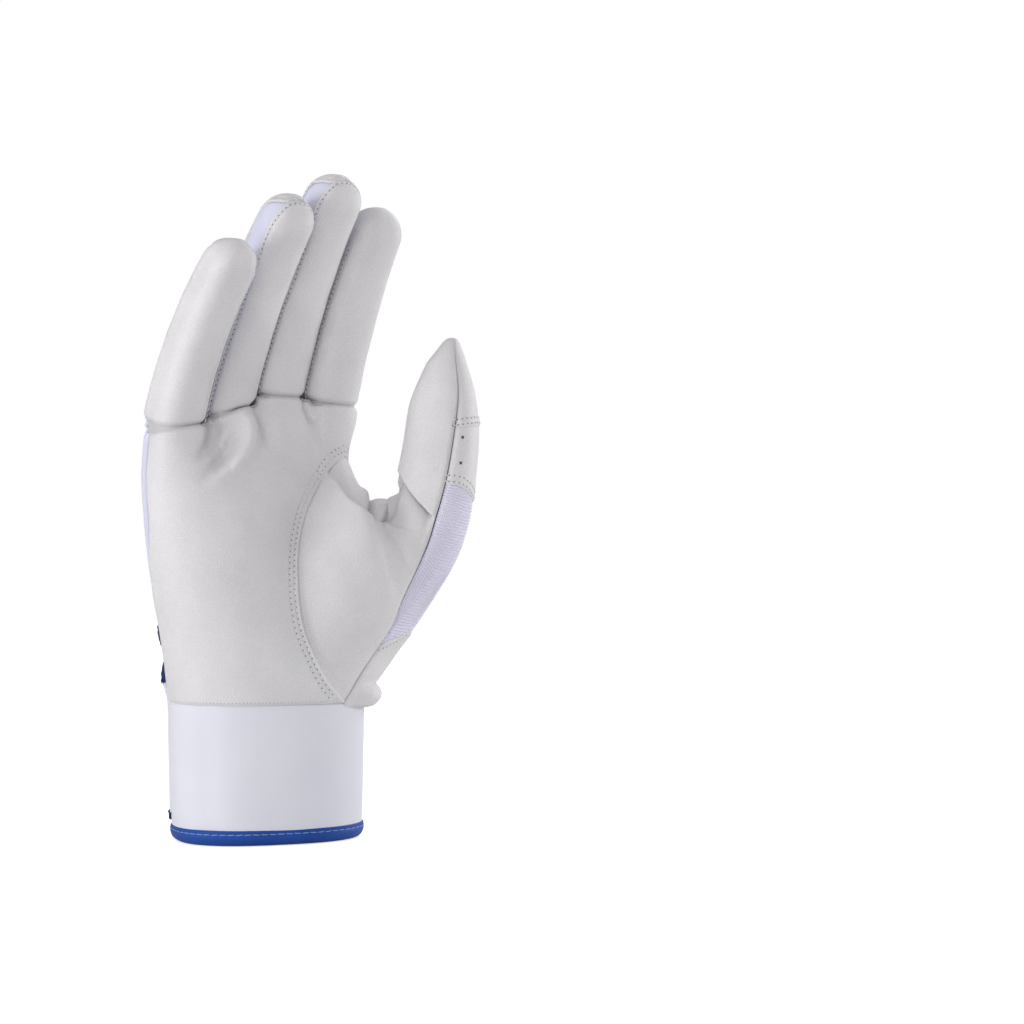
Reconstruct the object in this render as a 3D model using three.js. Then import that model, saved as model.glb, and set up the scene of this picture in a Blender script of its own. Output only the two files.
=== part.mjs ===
// Right-hand batting glove standing on its cuff, millimetres, +Z up, palm facing -Y, thumb towards +X.
import * as THREE from "three";

const group = new THREE.Group();
group.name = "batting_glove";

// Walls and gaps
const leather = 1.0;
const knit = 0.8;
const neoprene = 2.2;
const seamGap = 0.35;

// Cuff
const cuffHeight = 49;
const cuffHemWidth = 67.5;
const cuffHemDepth = 50;
const cuffTopWidth = 69.5;
const cuffTopDepth = 52;
const cuffTwist = -18;
const cuffSquare = 2.4;
const hemHeight = 5.5;
const hemLip = 0.5;
const slitFrom = 252;
const slitTo = 288;

// Strap and its closure
const strapRoot = 314;
const strapEnd = 203;
const strapLow = 6;
const strapHigh = 59;
const strapThick = 1.2;
const strapEdge = 3.6;
const padThick = 0.6;
const padGap = 0.3;
const rootRise = 2.1;

// Hand sections above the wrist seam: height, centre, half-width, front and back half-depth, squareness, twist
const handRings = [
  { up: 0, x: 0, y: 0, wide: 35.1, front: 26.4, back: 26.2, square: cuffSquare, twist: cuffTwist },
  { up: 20, x: -0.4, y: 1.6, wide: 37.6, front: 27.5, back: 24.4, square: 2.2, twist: -11 },
  { up: 46, x: -0.4, y: 5.5, wide: 42, front: 26, back: 20, square: 2.3, twist: -2 },
  { up: 76, x: -0.2, y: 9, wide: 44, front: 20.5, back: 16.2, square: 2.5, twist: 0 },
];

// The hand draws in between the index finger and the thumb: how far, and over which share of the height
const waistIn = 6;
const waistFrom = 0.66;
const waistAngle = 10;

// Fingers from the ulnar side: crease height above the wrist seam, crease depth, size, forward lean and sideways lean
const fingerGap = 1.1;
const knuckleLeft = -44;
const fingerTable = [
  { name: "little", width: 19.0, depth: 20, length: 69.5, up: 97.5, y: -3.6, leanBase: 17, leanTip: 46, fan: 4.1 },
  { name: "ring", width: 20.6, depth: 22, length: 80, up: 103.5, y: -2.2, leanBase: 16, leanTip: 41, fan: 3.5 },
  { name: "middle", width: 21.2, depth: 23, length: 82.5, up: 109, y: -2.0, leanBase: 15, leanTip: 39, fan: 3.5 },
  { name: "index", width: 20.8, depth: 22, length: 73.5, up: 106.5, y: -3.0, leanBase: 14, leanTip: 34, fan: 3.5 },
];
const fingerSquare = 2.7;
const fingerTaperWidth = 0.14;
const fingerTaperDepth = 0.24;
const tipRound = 10;
const middleFold = 0.44;
const stretchBack = 19;
const foldGap = 0.25;

// Where a finger's front leather meets its side strips and the side strips meet the back
const frontSeam = 20;
const littleSeam = 42;
const indexSeam = 4;
const backSeam = 322;

// Thenar opening in the palm, an oval in angle and height
const thenarAngle = 29.5;
const thenarAngleHalf = 64.5;
const thenarSkew = 14;
const thenarHeight = 0.38;
const thenarHeightHalf = 0.46;
const indexEdge = -18;
const ulnarEdge = 198;
const ulnarStrip = 26;
const ulnarDip = 16;
const ulnarDipFrom = 0.42;
const ulnarDipReach = 0.25;

// Trim that sags across the back: angles round the hand, and shares of its height
const trimFrom = 196;
const trimMiddle = 262;
const trimTo = 318;
const trimLow = 0.115;
const trimRise = 0.165;
const trimWide = 0.042;
const trimThick = 0.8;

// Thumb sections above the wrist seam, in the plane of the thumb's spread
const spreadAngle = -38;
const thumbRings = [
  { inner: [31.2, 78.2], outer: [45, 14.5], deep: 12, thick: 23 },
  { inner: [36.8, 71], outer: [53.2, 26], deep: 13, thick: 19 },
  { inner: [42.4, 66.3], outer: [65.8, 46], deep: 14.5, thick: 15.5 },
  { inner: [44.8, 72], outer: [72, 61.8], deep: 15, thick: 13.8 },
  { inner: [46.4, 81], outer: [74.6, 79.6], deep: 15, thick: 12.6 },
  { inner: [48.2, 93.2], outer: [75.6, 97.2], deep: 14.4, thick: 11.6 },
  { inner: [50.6, 107.6], outer: [74.2, 111.4], deep: 13.4, thick: 10.2 },
  { inner: [55.8, 121.2], outer: [71.2, 123.4], deep: 12.6, thick: 7.4 },
];
const thumbTip = [66.4, 129.8];
const thumbSeamAngles = [31, 45, 60, 78, 82, 76, 70, 60, 60, 66];
const thumbInnerSeam = 210;
const heelRoll = 4.4;
const heelAt = 0.09;
const heelReach = 0.13;
const meshEdge = 352;
const patchEnd = 1.25;
const backEnd = 3.65;
const thumbFold = 4.55;
const ventEnd = 6.1;

const materials = {
  leather: new THREE.MeshStandardMaterial({ color: 0xdcdadb, roughness: 0.6 }),
  fabric: new THREE.MeshStandardMaterial({ color: 0xdfe0ee, roughness: 0.85 }),
  neoprene: new THREE.MeshStandardMaterial({ color: 0xe4e5ee, roughness: 0.8 }),
  blue: new THREE.MeshStandardMaterial({ color: 0x163f94, roughness: 0.7 }),
  pad: new THREE.MeshStandardMaterial({ color: 0xd2d3dc, roughness: 0.95 }),
};

const rad = Math.PI / 180;
const vec = (x, y, z) => new THREE.Vector3(x, y, z);
const turned = (x, y, z, degrees) => {
  const c = Math.cos(degrees * rad), s = Math.sin(degrees * rad);
  return vec(x * c - y * s, x * s + y * c, z);
};
const mix = (a, b, t) => a + (b - a) * t;
const clamp = (t, a, b) => Math.min(b, Math.max(a, t));
const soft = (t) => { const c = clamp(t, 0, 1); return c * c * (3 - 2 * c); };
const spread = (a, b, n) => Array.from({ length: n + 1 }, (_, i) => mix(a, b, i / n));
const rounded = (c, power) => Math.sign(c) * Math.pow(Math.abs(c), 2 / power);

// Smooth value through evenly numbered stations
function through(values, t) {
  const last = values.length - 1;
  const i = clamp(Math.floor(t), 0, last - 1);
  const f = t - i;
  const p1 = values[i], p2 = values[i + 1];
  const p0 = i > 0 ? values[i - 1] : 2 * p1 - p2;
  const p3 = i + 2 <= last ? values[i + 2] : 2 * p2 - p1;
  return p1 + 0.5 * f * (p2 - p0 + f * (2 * p0 - 5 * p1 + 4 * p2 - p3 + f * (3 * (p1 - p2) + p3 - p0)));
}

// Closed sheet of even thickness: columns run round the hand, rows run up it, and keep says which cells exist
function sheet(name, material, rows, columns, surface, thick, lift = 0, keep = () => true) {
  const outer = [], inner = [];
  const step = 1e-3;
  for (const v of rows) {
    for (const c of columns) {
      const p = surface(c, v);
      const across = surface(c + step, v).sub(surface(c - step, v));
      const along = surface(c, v + step).sub(surface(c, v - step));
      const normal = along.cross(across).normalize();
      outer.push(p.clone().addScaledVector(normal, lift));
      inner.push(p.clone().addScaledVector(normal, lift - thick));
    }
  }
  const wide = columns.length, half = outer.length;
  const index = [];
  const quad = (a, b, c, d) => index.push(a, c, b, a, d, c);
  const rim = (a, b) => quad(a, half + a, half + b, b);
  const cell = (r, c) => r >= 0 && c >= 0 && r < rows.length - 1 && c < wide - 1 && keep(r, c);
  for (let r = 0; r < rows.length - 1; r++) {
    for (let c = 0; c < wide - 1; c++) {
      if (!cell(r, c)) continue;
      const a = r * wide + c, b = a + 1, d = a + wide, e = d + 1;
      quad(a, b, e, d);
      quad(half + a, half + d, half + e, half + b);
      if (!cell(r - 1, c)) rim(a, b);
      if (!cell(r, c + 1)) rim(b, e);
      if (!cell(r + 1, c)) rim(e, d);
      if (!cell(r, c - 1)) rim(d, a);
    }
  }
  const points = outer.concat(inner);
  const used = [...new Set(index)];
  const place = new Map(used.map((i, k) => [i, k]));
  const geometry = new THREE.BufferGeometry();
  geometry.setAttribute("position", new THREE.Float32BufferAttribute(used.flatMap((i) => points[i].toArray()), 3));
  geometry.setIndex(index.map((i) => place.get(i)));
  geometry.computeVertexNormals();
  const mesh = new THREE.Mesh(geometry, material);
  mesh.name = name;
  group.add(mesh);
  return mesh;
}

// Fingers side by side across the knuckles
let edge = knuckleLeft;
const fingers = fingerTable.map((row) => {
  const finger = { ...row, x: edge + row.width / 2, z: cuffHeight + row.up };
  edge += row.width + fingerGap;
  return finger;
});
const knuckleRight = edge - fingerGap;

// Point on a finger: angle round it, station along it from the crease
function fingerPoint(finger, angle, u) {
  const from = finger.leanBase * rad, turn = (finger.leanTip - finger.leanBase) * rad;
  const lean = from + turn * u;
  const domeFrom = 1 - tipRound / finger.length;
  const dome = u > domeFrom ? Math.sqrt(Math.max(0, 1 - ((u - domeFrom) / (1 - domeFrom)) ** 2)) : 1;
  const halfWide = 0.5 * finger.width * (1 - fingerTaperWidth * u * u) * dome;
  const halfDeep = 0.5 * finger.depth * (1 - fingerTaperDepth * u) * dome;
  const y = finger.y + 0.5 * finger.depth * Math.cos(from) - (finger.length * (Math.cos(from) - Math.cos(lean))) / turn;
  const z = finger.z + 0.5 * finger.depth * Math.sin(from) + (finger.length * (Math.sin(lean) - Math.sin(from))) / turn;
  const side = halfWide * rounded(Math.cos(angle * rad), fingerSquare);
  const front = halfDeep * rounded(Math.sin(angle * rad), fingerSquare);
  const along = finger.length * u * Math.tan(finger.fan * rad);
  return vec(finger.x + side + along, y - front * Math.cos(lean), z - front * Math.sin(lean));
}

// Finger section swung back about its crease, for the stretch strip over the knuckle
function swungPoint(finger, angle, degrees) {
  const p = fingerPoint(finger, angle, 0);
  const y = p.y - finger.y, z = p.z - finger.z, t = degrees * rad;
  return vec(p.x, finger.y + y * Math.cos(t) + z * Math.sin(t), finger.z - y * Math.sin(t) + z * Math.cos(t));
}

// Upper edge of the hand: the row of finger creases and knuckles
function knucklePoint(angle) {
  const middleX = 0.5 * (knuckleLeft + knuckleRight);
  const x = middleX + 0.5 * (knuckleRight - knuckleLeft) * rounded(Math.cos(angle * rad), fingerSquare);
  let i = fingers.findIndex((f) => x < f.x + 0.5 * (f.width + fingerGap));
  if (i < 0) i = fingers.length - 1;
  const finger = fingers[i];
  const offset = x - finger.x;
  const next = fingers[i + Math.sign(offset)];
  const toEdge = 0.5 * (finger.width + fingerGap) - Math.abs(offset);
  const share = next ? soft(toEdge / 2.5) : 1;
  const meet = next ? Math.min(finger.z, next.z) : finger.z;
  const y = next ? mix(0.5 * (finger.y + next.y), finger.y, share) : finger.y;
  const depth = next ? mix(0.5 * (finger.depth + next.depth), finger.depth, share) : finger.depth;
  const reach = Math.min(Math.abs(2 * offset) / finger.width, next ? 0.84 : 1);
  const drop = 0.5 * depth * (1 - Math.pow(1 - Math.pow(reach, fingerSquare), 1 / fingerSquare));
  const front = Math.sin(angle * rad) >= 0;
  const at = front ? y + drop : y + depth - drop;
  const fall = Math.tan((stretchBack + 1.2 - finger.leanBase) * rad);
  return vec(x, at, mix(meet, finger.z, share) - 0.3 - fall * (at - y));
}

// Point on the hand: angle round it (0 thumb side, 90 palm), share of the way from wrist to knuckles
function handPoint(angle, share) {
  const c = Math.cos(angle * rad), s = Math.sin(angle * rad);
  const points = handRings.map((r) => turned(
    r.x + r.wide * rounded(c, r.square),
    r.y - (s >= 0 ? r.front : r.back) * rounded(s, r.square),
    cuffHeight + 0.3 + r.up, r.twist,
  ));
  points.push(knucklePoint(angle));
  const t = share * (points.length - 1);
  const waist = waistIn * Math.sin(Math.PI * clamp((share - waistFrom) / (1 - waistFrom), 0, 1)) ** 2;
  const drawn = waist * Math.max(0, Math.cos((angle - waistAngle) * rad)) ** 3;
  return vec(through(points.map((p) => p.x), t) - drawn, through(points.map((p) => p.y), t), through(points.map((p) => p.z), t));
}

// Thenar opening: its edge at a turn round the oval, and its palm or back edge at a share of the hand's height
const thenarTop = thenarHeight + thenarHeightHalf;
const thenarPeak = thenarAngle + thenarSkew;
const thenarOval = (turn) => ({
  angle: thenarAngle + thenarSkew * Math.sin(turn) + thenarAngleHalf * Math.cos(turn),
  share: thenarHeight + thenarHeightHalf * Math.sin(turn),
});
function thenarEdge(share, side) {
  const turn = Math.asin(clamp((share - thenarHeight) / thenarHeightHalf, -1, 1));
  return thenarOval(side > 0 ? turn : Math.PI - turn).angle;
}
function thenarCeiling(angle) {
  let low = Math.PI / 2, high = Math.PI;
  for (let i = 0; i < 40; i++) {
    const turn = 0.5 * (low + high);
    if (thenarOval(turn).angle > angle) low = turn; else high = turn;
  }
  return thenarOval(low).share;
}

// Point on the thumb: angle round it (0 outer side, 90 front), station from the palm to the tip
const spreadRight = vec(Math.cos(spreadAngle * rad), Math.sin(spreadAngle * rad), 0);
const spreadDeep = vec(-Math.sin(spreadAngle * rad), Math.cos(spreadAngle * rad), 0);
function thumbRing(angle, k) {
  if (k === 0) {
    const edge = thenarOval((angle - 90) * rad);
    return handPoint(edge.angle, Math.max(0.002, edge.share));
  }
  const ring = thumbRings[k - 1];
  const c = rounded(Math.cos(angle * rad), 2.2), s = rounded(Math.sin(angle * rad), 2.2);
  const right = mix(ring.inner[0], ring.outer[0], 0.5 + 0.5 * c);
  const up = mix(ring.inner[1], ring.outer[1], 0.5 + 0.5 * c);
  return spreadRight.clone().multiplyScalar(right).addScaledVector(spreadDeep, ring.deep - ring.thick * s).setZ(cuffHeight + up);
}
function thumbPoint(angle, k) {
  const last = thumbRings.length;
  const points = Array.from({ length: last + 1 }, (_, i) => thumbRing(angle, i));
  const ring = thumbRings[last - 1];
  const tip = spreadRight.clone().multiplyScalar(thumbTip[0]).addScaledVector(spreadDeep, ring.deep).setZ(cuffHeight + thumbTip[1]);
  if (k > last) {
    const t = (k - last) * 90 * rad;
    const centre = spreadRight.clone().multiplyScalar(0.5 * (ring.inner[0] + ring.outer[0])).addScaledVector(spreadDeep, ring.deep).setZ(cuffHeight + 0.5 * (ring.inner[1] + ring.outer[1]));
    const out = points[last].clone().sub(centre).multiplyScalar(Math.cos(t));
    return centre.clone().add(out).addScaledVector(tip.sub(centre), Math.sin(t));
  }
  const roll = heelRoll * Math.exp(-(((k - heelAt) / heelReach) ** 2)) * Math.max(0, Math.cos(angle * rad)) ** 2;
  return vec(through(points.map((p) => p.x), k), through(points.map((p) => p.y), k), through(points.map((p) => p.z), k)).addScaledVector(spreadRight, roll);
}

// Point on the cuff: angle round it, height, distance off its outer face
function cuffPoint(angle, z, off = 0) {
  const t = z / cuffHeight;
  const wide = 0.5 * mix(cuffHemWidth, cuffTopWidth, t) + off;
  const deep = 0.5 * mix(cuffHemDepth, cuffTopDepth, t) + off;
  return turned(wide * rounded(Math.cos(angle * rad), cuffSquare), -deep * rounded(Math.sin(angle * rad), cuffSquare), z, cuffTwist);
}

// Angle that a gap takes up on a curve of a given radius
const gapAngle = (radius) => (0.5 * seamGap) / radius / rad;

// Sheet between two moving side edges
function panel(name, material, rows, count, left, right, point, thick, lift) {
  return sheet(name, material, rows, spread(0, 1, count), (c, v) => point(mix(left(v), right(v), c), v), thick, lift);
}

// Palm: below the top of the thenar opening it ends at the oval, above it wraps the index edge
const handGap = gapAngle(28);
const knuckleAngle = (x) => {
  const t = (x - 0.5 * (knuckleLeft + knuckleRight)) / (0.5 * (knuckleRight - knuckleLeft));
  return Math.acos(Math.sign(t) * Math.pow(Math.abs(t), fingerSquare / 2)) / rad;
};
const slotEdges = fingers.slice(1).map((f) => f.x - 0.5 * (f.width + fingerGap)).reverse();
const slotSides = [2.6, 0.4, -0.4, -2.6];
const slotAngles = slotEdges.flatMap((x, i) => {
  const own = slotSides.map((d) => knuckleAngle(x + d));
  const next = slotEdges[i + 1];
  return next === undefined ? own : [...own, ...spread(own[3], knuckleAngle(next + slotSides[0]), 3).slice(1, 3)];
});
const firstSlot = slotAngles[0], lastSlot = slotAngles[slotAngles.length - 1];
const palmEdge = ulnarEdge - handGap;
const peak = thenarPeak + handGap;
const palmAngles = [...spread(indexEdge + handGap, peak, 5), 0.5 * (peak + firstSlot), ...slotAngles, ...spread(lastSlot, palmEdge, 7).slice(1)];
const steadyAngle = 125;
const ulnarAt = (v) => ulnarEdge - ulnarDip * soft((v - ulnarDipFrom) / ulnarDipReach);
const ulnarSteady = 165;
const palmPoint = (column, v) => {
  const angle = column + (ulnarAt(v) - ulnarEdge) * clamp((column - ulnarSteady) / (palmEdge - ulnarSteady), 0, 1);
  if (v >= thenarTop - 0.005) {
    const floor = angle < peak ? thenarCeiling(angle - handGap) + 0.006 : thenarTop;
    return handPoint(angle, mix(floor, 1, (v - thenarTop) / (1 - thenarTop)));
  }
  const reach = thenarEdge(v, 1) - thenarPeak;
  const steady = Math.min(steadyAngle, peak + 1.6 * reach + 18);
  return handPoint(angle + reach * clamp((steady - angle) / (steady - peak), 0, 1), v);
};
const palmRows = [0, 0.08, 0.17, 0.27, 0.37, 0.47, 0.57, 0.66, 0.73, 0.78, 0.815, thenarTop, 0.88, 0.92, 0.96, 0.998];
const peakRow = palmRows.indexOf(thenarTop), peakColumn = palmAngles.indexOf(peak);
sheet("palm_panel", materials.leather, palmRows, palmAngles, palmPoint, leather, 0, (r, c) => r >= peakRow || c >= peakColumn);

// Ulnar strip and back of the hand
panel("ulnar_mesh_panel", materials.fabric, spread(0, 0.998, 10), 3,
  (v) => ulnarAt(v) + 1.6 * handGap, () => ulnarEdge + ulnarStrip - handGap, handPoint, knit);
const backFrom = ulnarEdge + ulnarStrip + handGap, backTo = 360 + indexEdge - 2.5 * handGap;
const backAngles = [...spread(backFrom, 360 - lastSlot, 2).slice(0, 2), ...slotAngles.map((a) => 360 - a).reverse(), ...spread(360 - firstSlot, backTo, 4).slice(1)];
const backSteady = 360 - firstSlot;
const backPoint = (angle, v) => {
  const shift = clamp((angle - backSteady) / (backTo - backSteady), 0, 1);
  return handPoint(angle + shift * Math.min(0, thenarEdge(v, -1) - indexEdge), v);
};
sheet("hand_back_panel", materials.leather, [0, 0.1, 0.2, 0.32, 0.44, 0.54, 0.64, 0.74, 0.82, 0.9, 0.95, 0.998], backAngles, backPoint, leather);
const trimShare = (angle) => trimLow + trimRise * ((angle - trimMiddle) / (trimMiddle - trimFrom)) ** 2;
panel("back_trim", materials.blue, [0, 1], 16, () => trimFrom, () => trimTo,
  (angle, v) => handPoint(angle, trimShare(angle) + trimWide * v), trimThick, trimThick + padGap);

// Fingers in two lengths, each of front, back and side strips
for (const finger of fingers) {
  const domeFrom = 1 - tipRound / finger.length;
  const dome = [28, 50, 67, 79].map((d) => mix(domeFrom, 1, Math.sin(d * rad)));
  const fold = foldGap / finger.length;
  const lengths = [
    ["base", spread(fold, middleFold - fold, 4)],
    ["tip", [...spread(middleFold + fold, domeFrom, 4), ...dome]],
  ];
  const radius = (u) => Math.max(1.5, 0.42 * finger.width * (u > domeFrom ? Math.sqrt(1 - ((u - domeFrom) / (1 - domeFrom)) ** 2) : 1));
  const point = (angle, u) => fingerPoint(finger, angle, u);
  const wrapOut = finger.name === "index", wrapIn = finger.name === "little";
  const outerSeam = wrapIn ? littleSeam : frontSeam;
  const innerSeam = 180 - (wrapOut ? indexSeam : frontSeam);
  const frontLeft = wrapOut ? backSeam - 360 : outerSeam;
  const frontRight = wrapIn ? 540 - backSeam : innerSeam;
  for (const [part, rows] of lengths) {
    const name = `${finger.name}_${part}`;
    const strip = (suffix, material, count, from, to, thick) => panel(`${name}_${suffix}`, material, rows, count,
      (u) => from + gapAngle(radius(u)), (u) => to - gapAngle(radius(u)), point, thick);
    strip("front", materials.leather, wrapOut || wrapIn ? 9 : 6, frontLeft, frontRight, leather);
    strip("back", materials.leather, 6, 540 - backSeam, backSeam, leather);
    if (!wrapOut) strip("outer_fourchette", materials.fabric, 4, backSeam - 360, outerSeam, knit);
    if (!wrapIn) strip("inner_fourchette", materials.fabric, 4, innerSeam, 540 - backSeam, knit);
  }
  sheet(`${finger.name}_knuckle_gusset`, materials.fabric, spread(0, 1, 3),
    spread(188, 352, 10),
    (angle, v) => swungPoint(finger, angle, mix(stretchBack - 0.2, 1.2, v)), knit);
}

// Thumb, with its ball in the palm and its back in several pieces
const thumbGap = gapAngle(12);
const thumbSeam = (k) => through(thumbSeamAngles, k);
const foldStep = 0.018;
const thumbRows = (from, to, n) => spread(from, to, n);
panel("thenar_panel", materials.leather, thumbRows(0.022, thumbFold - foldStep, 12), 12,
  (k) => thumbSeam(k) + thumbGap, () => thumbInnerSeam - thumbGap, thumbPoint, leather);
panel("thumb_base_patch", materials.leather, thumbRows(0.022, patchEnd - 0.02, 4), 10,
  () => thumbInnerSeam + thumbGap, (k) => 360 + thumbSeam(k) - thumbGap, thumbPoint, leather);
panel("thumb_mesh_panel", materials.fabric, thumbRows(patchEnd + 0.02, thumbFold - foldStep, 9), 5,
  () => meshEdge + thumbGap, (k) => 360 + thumbSeam(k) - thumbGap, thumbPoint, knit);
panel("thumb_back_panel", materials.leather, thumbRows(patchEnd + 0.02, backEnd, 6), 7,
  () => thumbInnerSeam + thumbGap, () => meshEdge - thumbGap, thumbPoint, leather);
panel("thumb_flex_gusset", materials.fabric, thumbRows(backEnd + 0.04, thumbFold - foldStep, 3), 7,
  () => thumbInnerSeam + thumbGap, () => meshEdge - thumbGap, thumbPoint, knit);
const thumbDome = [28, 52, 70, 82].map((d) => thumbRings.length + d / 90);
const upperRows = [...thumbRows(thumbFold + foldStep, thumbRings.length, 6), ...thumbDome];
const narrow = (k) => thumbGap * (k > thumbRings.length ? 1 / Math.max(0.2, Math.cos((k - thumbRings.length) * 90 * rad)) : 1) * 1.3;
panel("thumb_front", materials.leather, upperRows, 10,
  (k) => thumbSeam(k) + narrow(k), (k) => thumbInnerSeam - narrow(k), thumbPoint, leather);
panel("thumb_vent_panel", materials.leather, thumbRows(thumbFold + foldStep, ventEnd - 0.02, 3), 9,
  (k) => thumbInnerSeam + narrow(k), (k) => 360 + thumbSeam(k) - narrow(k), thumbPoint, leather);
panel("thumb_tip_back", materials.leather, [...thumbRows(ventEnd + 0.02, thumbRings.length, 3), ...thumbDome], 9,
  (k) => thumbInnerSeam + narrow(k), (k) => 360 + thumbSeam(k) - narrow(k), thumbPoint, leather);

// Cuff, its hem and the elastic strip in its split
const cuffColumns = spread(slitTo - 360, slitFrom, 34);
sheet("cuff_band", materials.neoprene, spread(hemHeight + 0.3, cuffHeight - 0.3, 3), cuffColumns, (a, z) => cuffPoint(a, z), neoprene);
sheet("hem_binding", materials.blue, [0, hemHeight], cuffColumns, (a, z) => cuffPoint(a, hemHeight, hemLip).setZ(z), neoprene + 2 * hemLip);
sheet("cuff_gusset", materials.fabric, spread(1, cuffHeight - 0.3, 2), spread(slitFrom + 0.6, slitTo - 0.6, 6), (a, z) => cuffPoint(a, z, -0.5), knit);
sheet("loop_pad", materials.pad, [14, strapHigh - 12], spread(strapEnd + 6, slitFrom - 3, 8), (a, z) => cuffPoint(a, z, padGap + padThick), padThick);

// Strap from its sewn root to its free end, lying over the pads
const strapInside = 3 * padGap + 2 * padThick;
const strapOff = (angle) => mix(strapInside, rootRise, soft((angle - strapRoot + 32) / 26)) + strapThick;
const strapPoint = (angle, z, more = 0) => cuffPoint(angle, z, strapOff(angle) + more);
const strapAngles = spread(strapEnd, strapRoot, 18);
sheet("wrist_strap", materials.neoprene, spread(strapLow + strapEdge, strapHigh - strapEdge, 2), strapAngles, (a, z) => strapPoint(a, z), strapThick);
sheet("hook_pad", materials.pad, [16, strapHigh - 14], spread(strapEnd + 10, slitFrom - 8, 8), (a, z) => strapPoint(a, z, -strapThick - padGap), padThick);
for (const [name, low, high] of [
  ["strap_binding_top", strapHigh - strapEdge + padGap, strapHigh],
  ["strap_binding_bottom", strapLow, strapLow + strapEdge - padGap],
]) {
  sheet(name, materials.blue, [low, high], strapAngles, (a, z) => strapPoint(a, z, padGap), strapThick + 2 * padGap);
}

export default group;
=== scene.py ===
import math

import bmesh
import bpy
import numpy as np
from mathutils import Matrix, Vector, kdtree, noise


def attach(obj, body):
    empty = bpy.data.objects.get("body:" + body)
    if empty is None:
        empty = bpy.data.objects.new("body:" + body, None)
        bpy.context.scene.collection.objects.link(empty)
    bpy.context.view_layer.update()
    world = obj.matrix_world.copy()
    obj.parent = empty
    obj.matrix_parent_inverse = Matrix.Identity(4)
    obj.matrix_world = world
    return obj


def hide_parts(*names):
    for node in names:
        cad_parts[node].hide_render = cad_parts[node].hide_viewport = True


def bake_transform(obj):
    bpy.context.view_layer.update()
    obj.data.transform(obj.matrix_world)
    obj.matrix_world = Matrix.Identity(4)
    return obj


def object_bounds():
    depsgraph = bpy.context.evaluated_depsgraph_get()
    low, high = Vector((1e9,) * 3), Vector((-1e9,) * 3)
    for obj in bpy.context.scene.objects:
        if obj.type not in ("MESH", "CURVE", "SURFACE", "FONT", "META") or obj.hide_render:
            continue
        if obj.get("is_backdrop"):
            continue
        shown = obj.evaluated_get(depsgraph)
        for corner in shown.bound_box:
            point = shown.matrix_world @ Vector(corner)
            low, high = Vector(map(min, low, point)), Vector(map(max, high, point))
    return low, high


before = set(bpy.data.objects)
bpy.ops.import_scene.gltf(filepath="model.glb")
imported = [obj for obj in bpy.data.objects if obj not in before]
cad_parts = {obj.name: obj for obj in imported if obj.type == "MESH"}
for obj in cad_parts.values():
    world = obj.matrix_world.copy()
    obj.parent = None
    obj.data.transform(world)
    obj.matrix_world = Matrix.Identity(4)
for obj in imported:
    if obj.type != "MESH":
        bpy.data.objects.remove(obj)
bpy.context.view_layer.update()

mm = 0.001  # pattern sizes are millimetres, Blender's are metres

# Where the camera stands, in millimetres and degrees
photoView = {"size": 1024, "lens": 85.0, "sensor": 36.0, "azimuth": -38.0,
             "distance": 866.0, "height": 116.2, "aside": 87.6}
viewTurn = math.radians(photoView["azimuth"])
viewRight = np.array((math.cos(viewTurn), math.sin(viewTurn), 0.0))
viewBack = np.array((math.sin(viewTurn), -math.cos(viewTurn), 0.0))
viewUp = np.array((0.0, 0.0, 1.0))
viewEye = viewBack * photoView["distance"] + viewRight * photoView["aside"] + viewUp * photoView["height"]
viewFocal = photoView["lens"] / photoView["sensor"] * photoView["size"]


def onPhoto(p):
    r = p - viewEye
    depth = -(r @ viewBack)
    half = photoView["size"] / 2
    return np.stack([half + viewFocal * (r @ viewRight) / depth, half - viewFocal * r[..., 2] / depth], -1)


# Small helpers for arrays
def mix(a, b, t):
    return a + (b - a) * t


def soft(t):
    t = np.clip(t, 0, 1)
    return t * t * (3 - 2 * t)


def bell(d, wide):
    return np.exp(-(d / wide) ** 2)


def rounded(c, square):
    return np.sign(c) * np.abs(c) ** (2 / square)


def cosSin(degrees):
    return np.cos(np.radians(degrees)), np.sin(np.radians(degrees))


def turned(x, y, z, degrees):
    c, s = cosSin(degrees)
    return np.stack([x * c - y * s, x * s + y * c, z + 0 * x], -1)


def through(stations, t):  # smooth curve through evenly numbered stations
    last = len(stations) - 1
    i = np.clip(np.floor(t).astype(int), 0, last - 1)
    f = t - i
    ends = np.concatenate([2 * stations[:1] - stations[1:2], stations, 2 * stations[-1:] - stations[-2:-1]])
    at = np.arange(len(t))
    pick = [ends[i + k, at] if ends.ndim > 1 else ends[i + k] for k in range(4)]
    p0, p1, p2, p3 = pick
    f = f.reshape((-1,) + (1,) * (p1.ndim - 1))
    return p1 + 0.5 * f * (p2 - p0 + f * (2 * p0 - 5 * p1 + 4 * p2 - p3 + f * (3 * (p1 - p2) + p3 - p0)))


def spaced(a, b, n):  # even steps, with extra ones close to both ends
    near = np.array((0.12, 0.3, 0.6)) / n
    return mix(a, b, np.unique(np.concatenate([np.linspace(0, 1, n + 1), near, 1 - near])))


def ripple(p, size, seed):  # soft random relief, about -1 to 1
    flat = (p.reshape(-1, 3) / size) + seed * 7.31
    return np.array([noise.noise(q) for q in flat]).reshape(p.shape[:-1])


def lengthAlong(line):
    return np.concatenate([[0], np.cumsum(np.linalg.norm(np.diff(line, axis=0), axis=1))])


def refined(line, step=0.2):
    length = lengthAlong(line)
    at = np.linspace(0, length[-1], max(2, int(length[-1] / step)))
    return np.stack([np.interp(at, length, line[:, k]) for k in range(3)], -1)


def treeOf(points):
    tree = kdtree.KDTree(len(points))
    for i, q in enumerate(points):
        tree.insert(q, i)
    tree.balance()
    return tree


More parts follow.
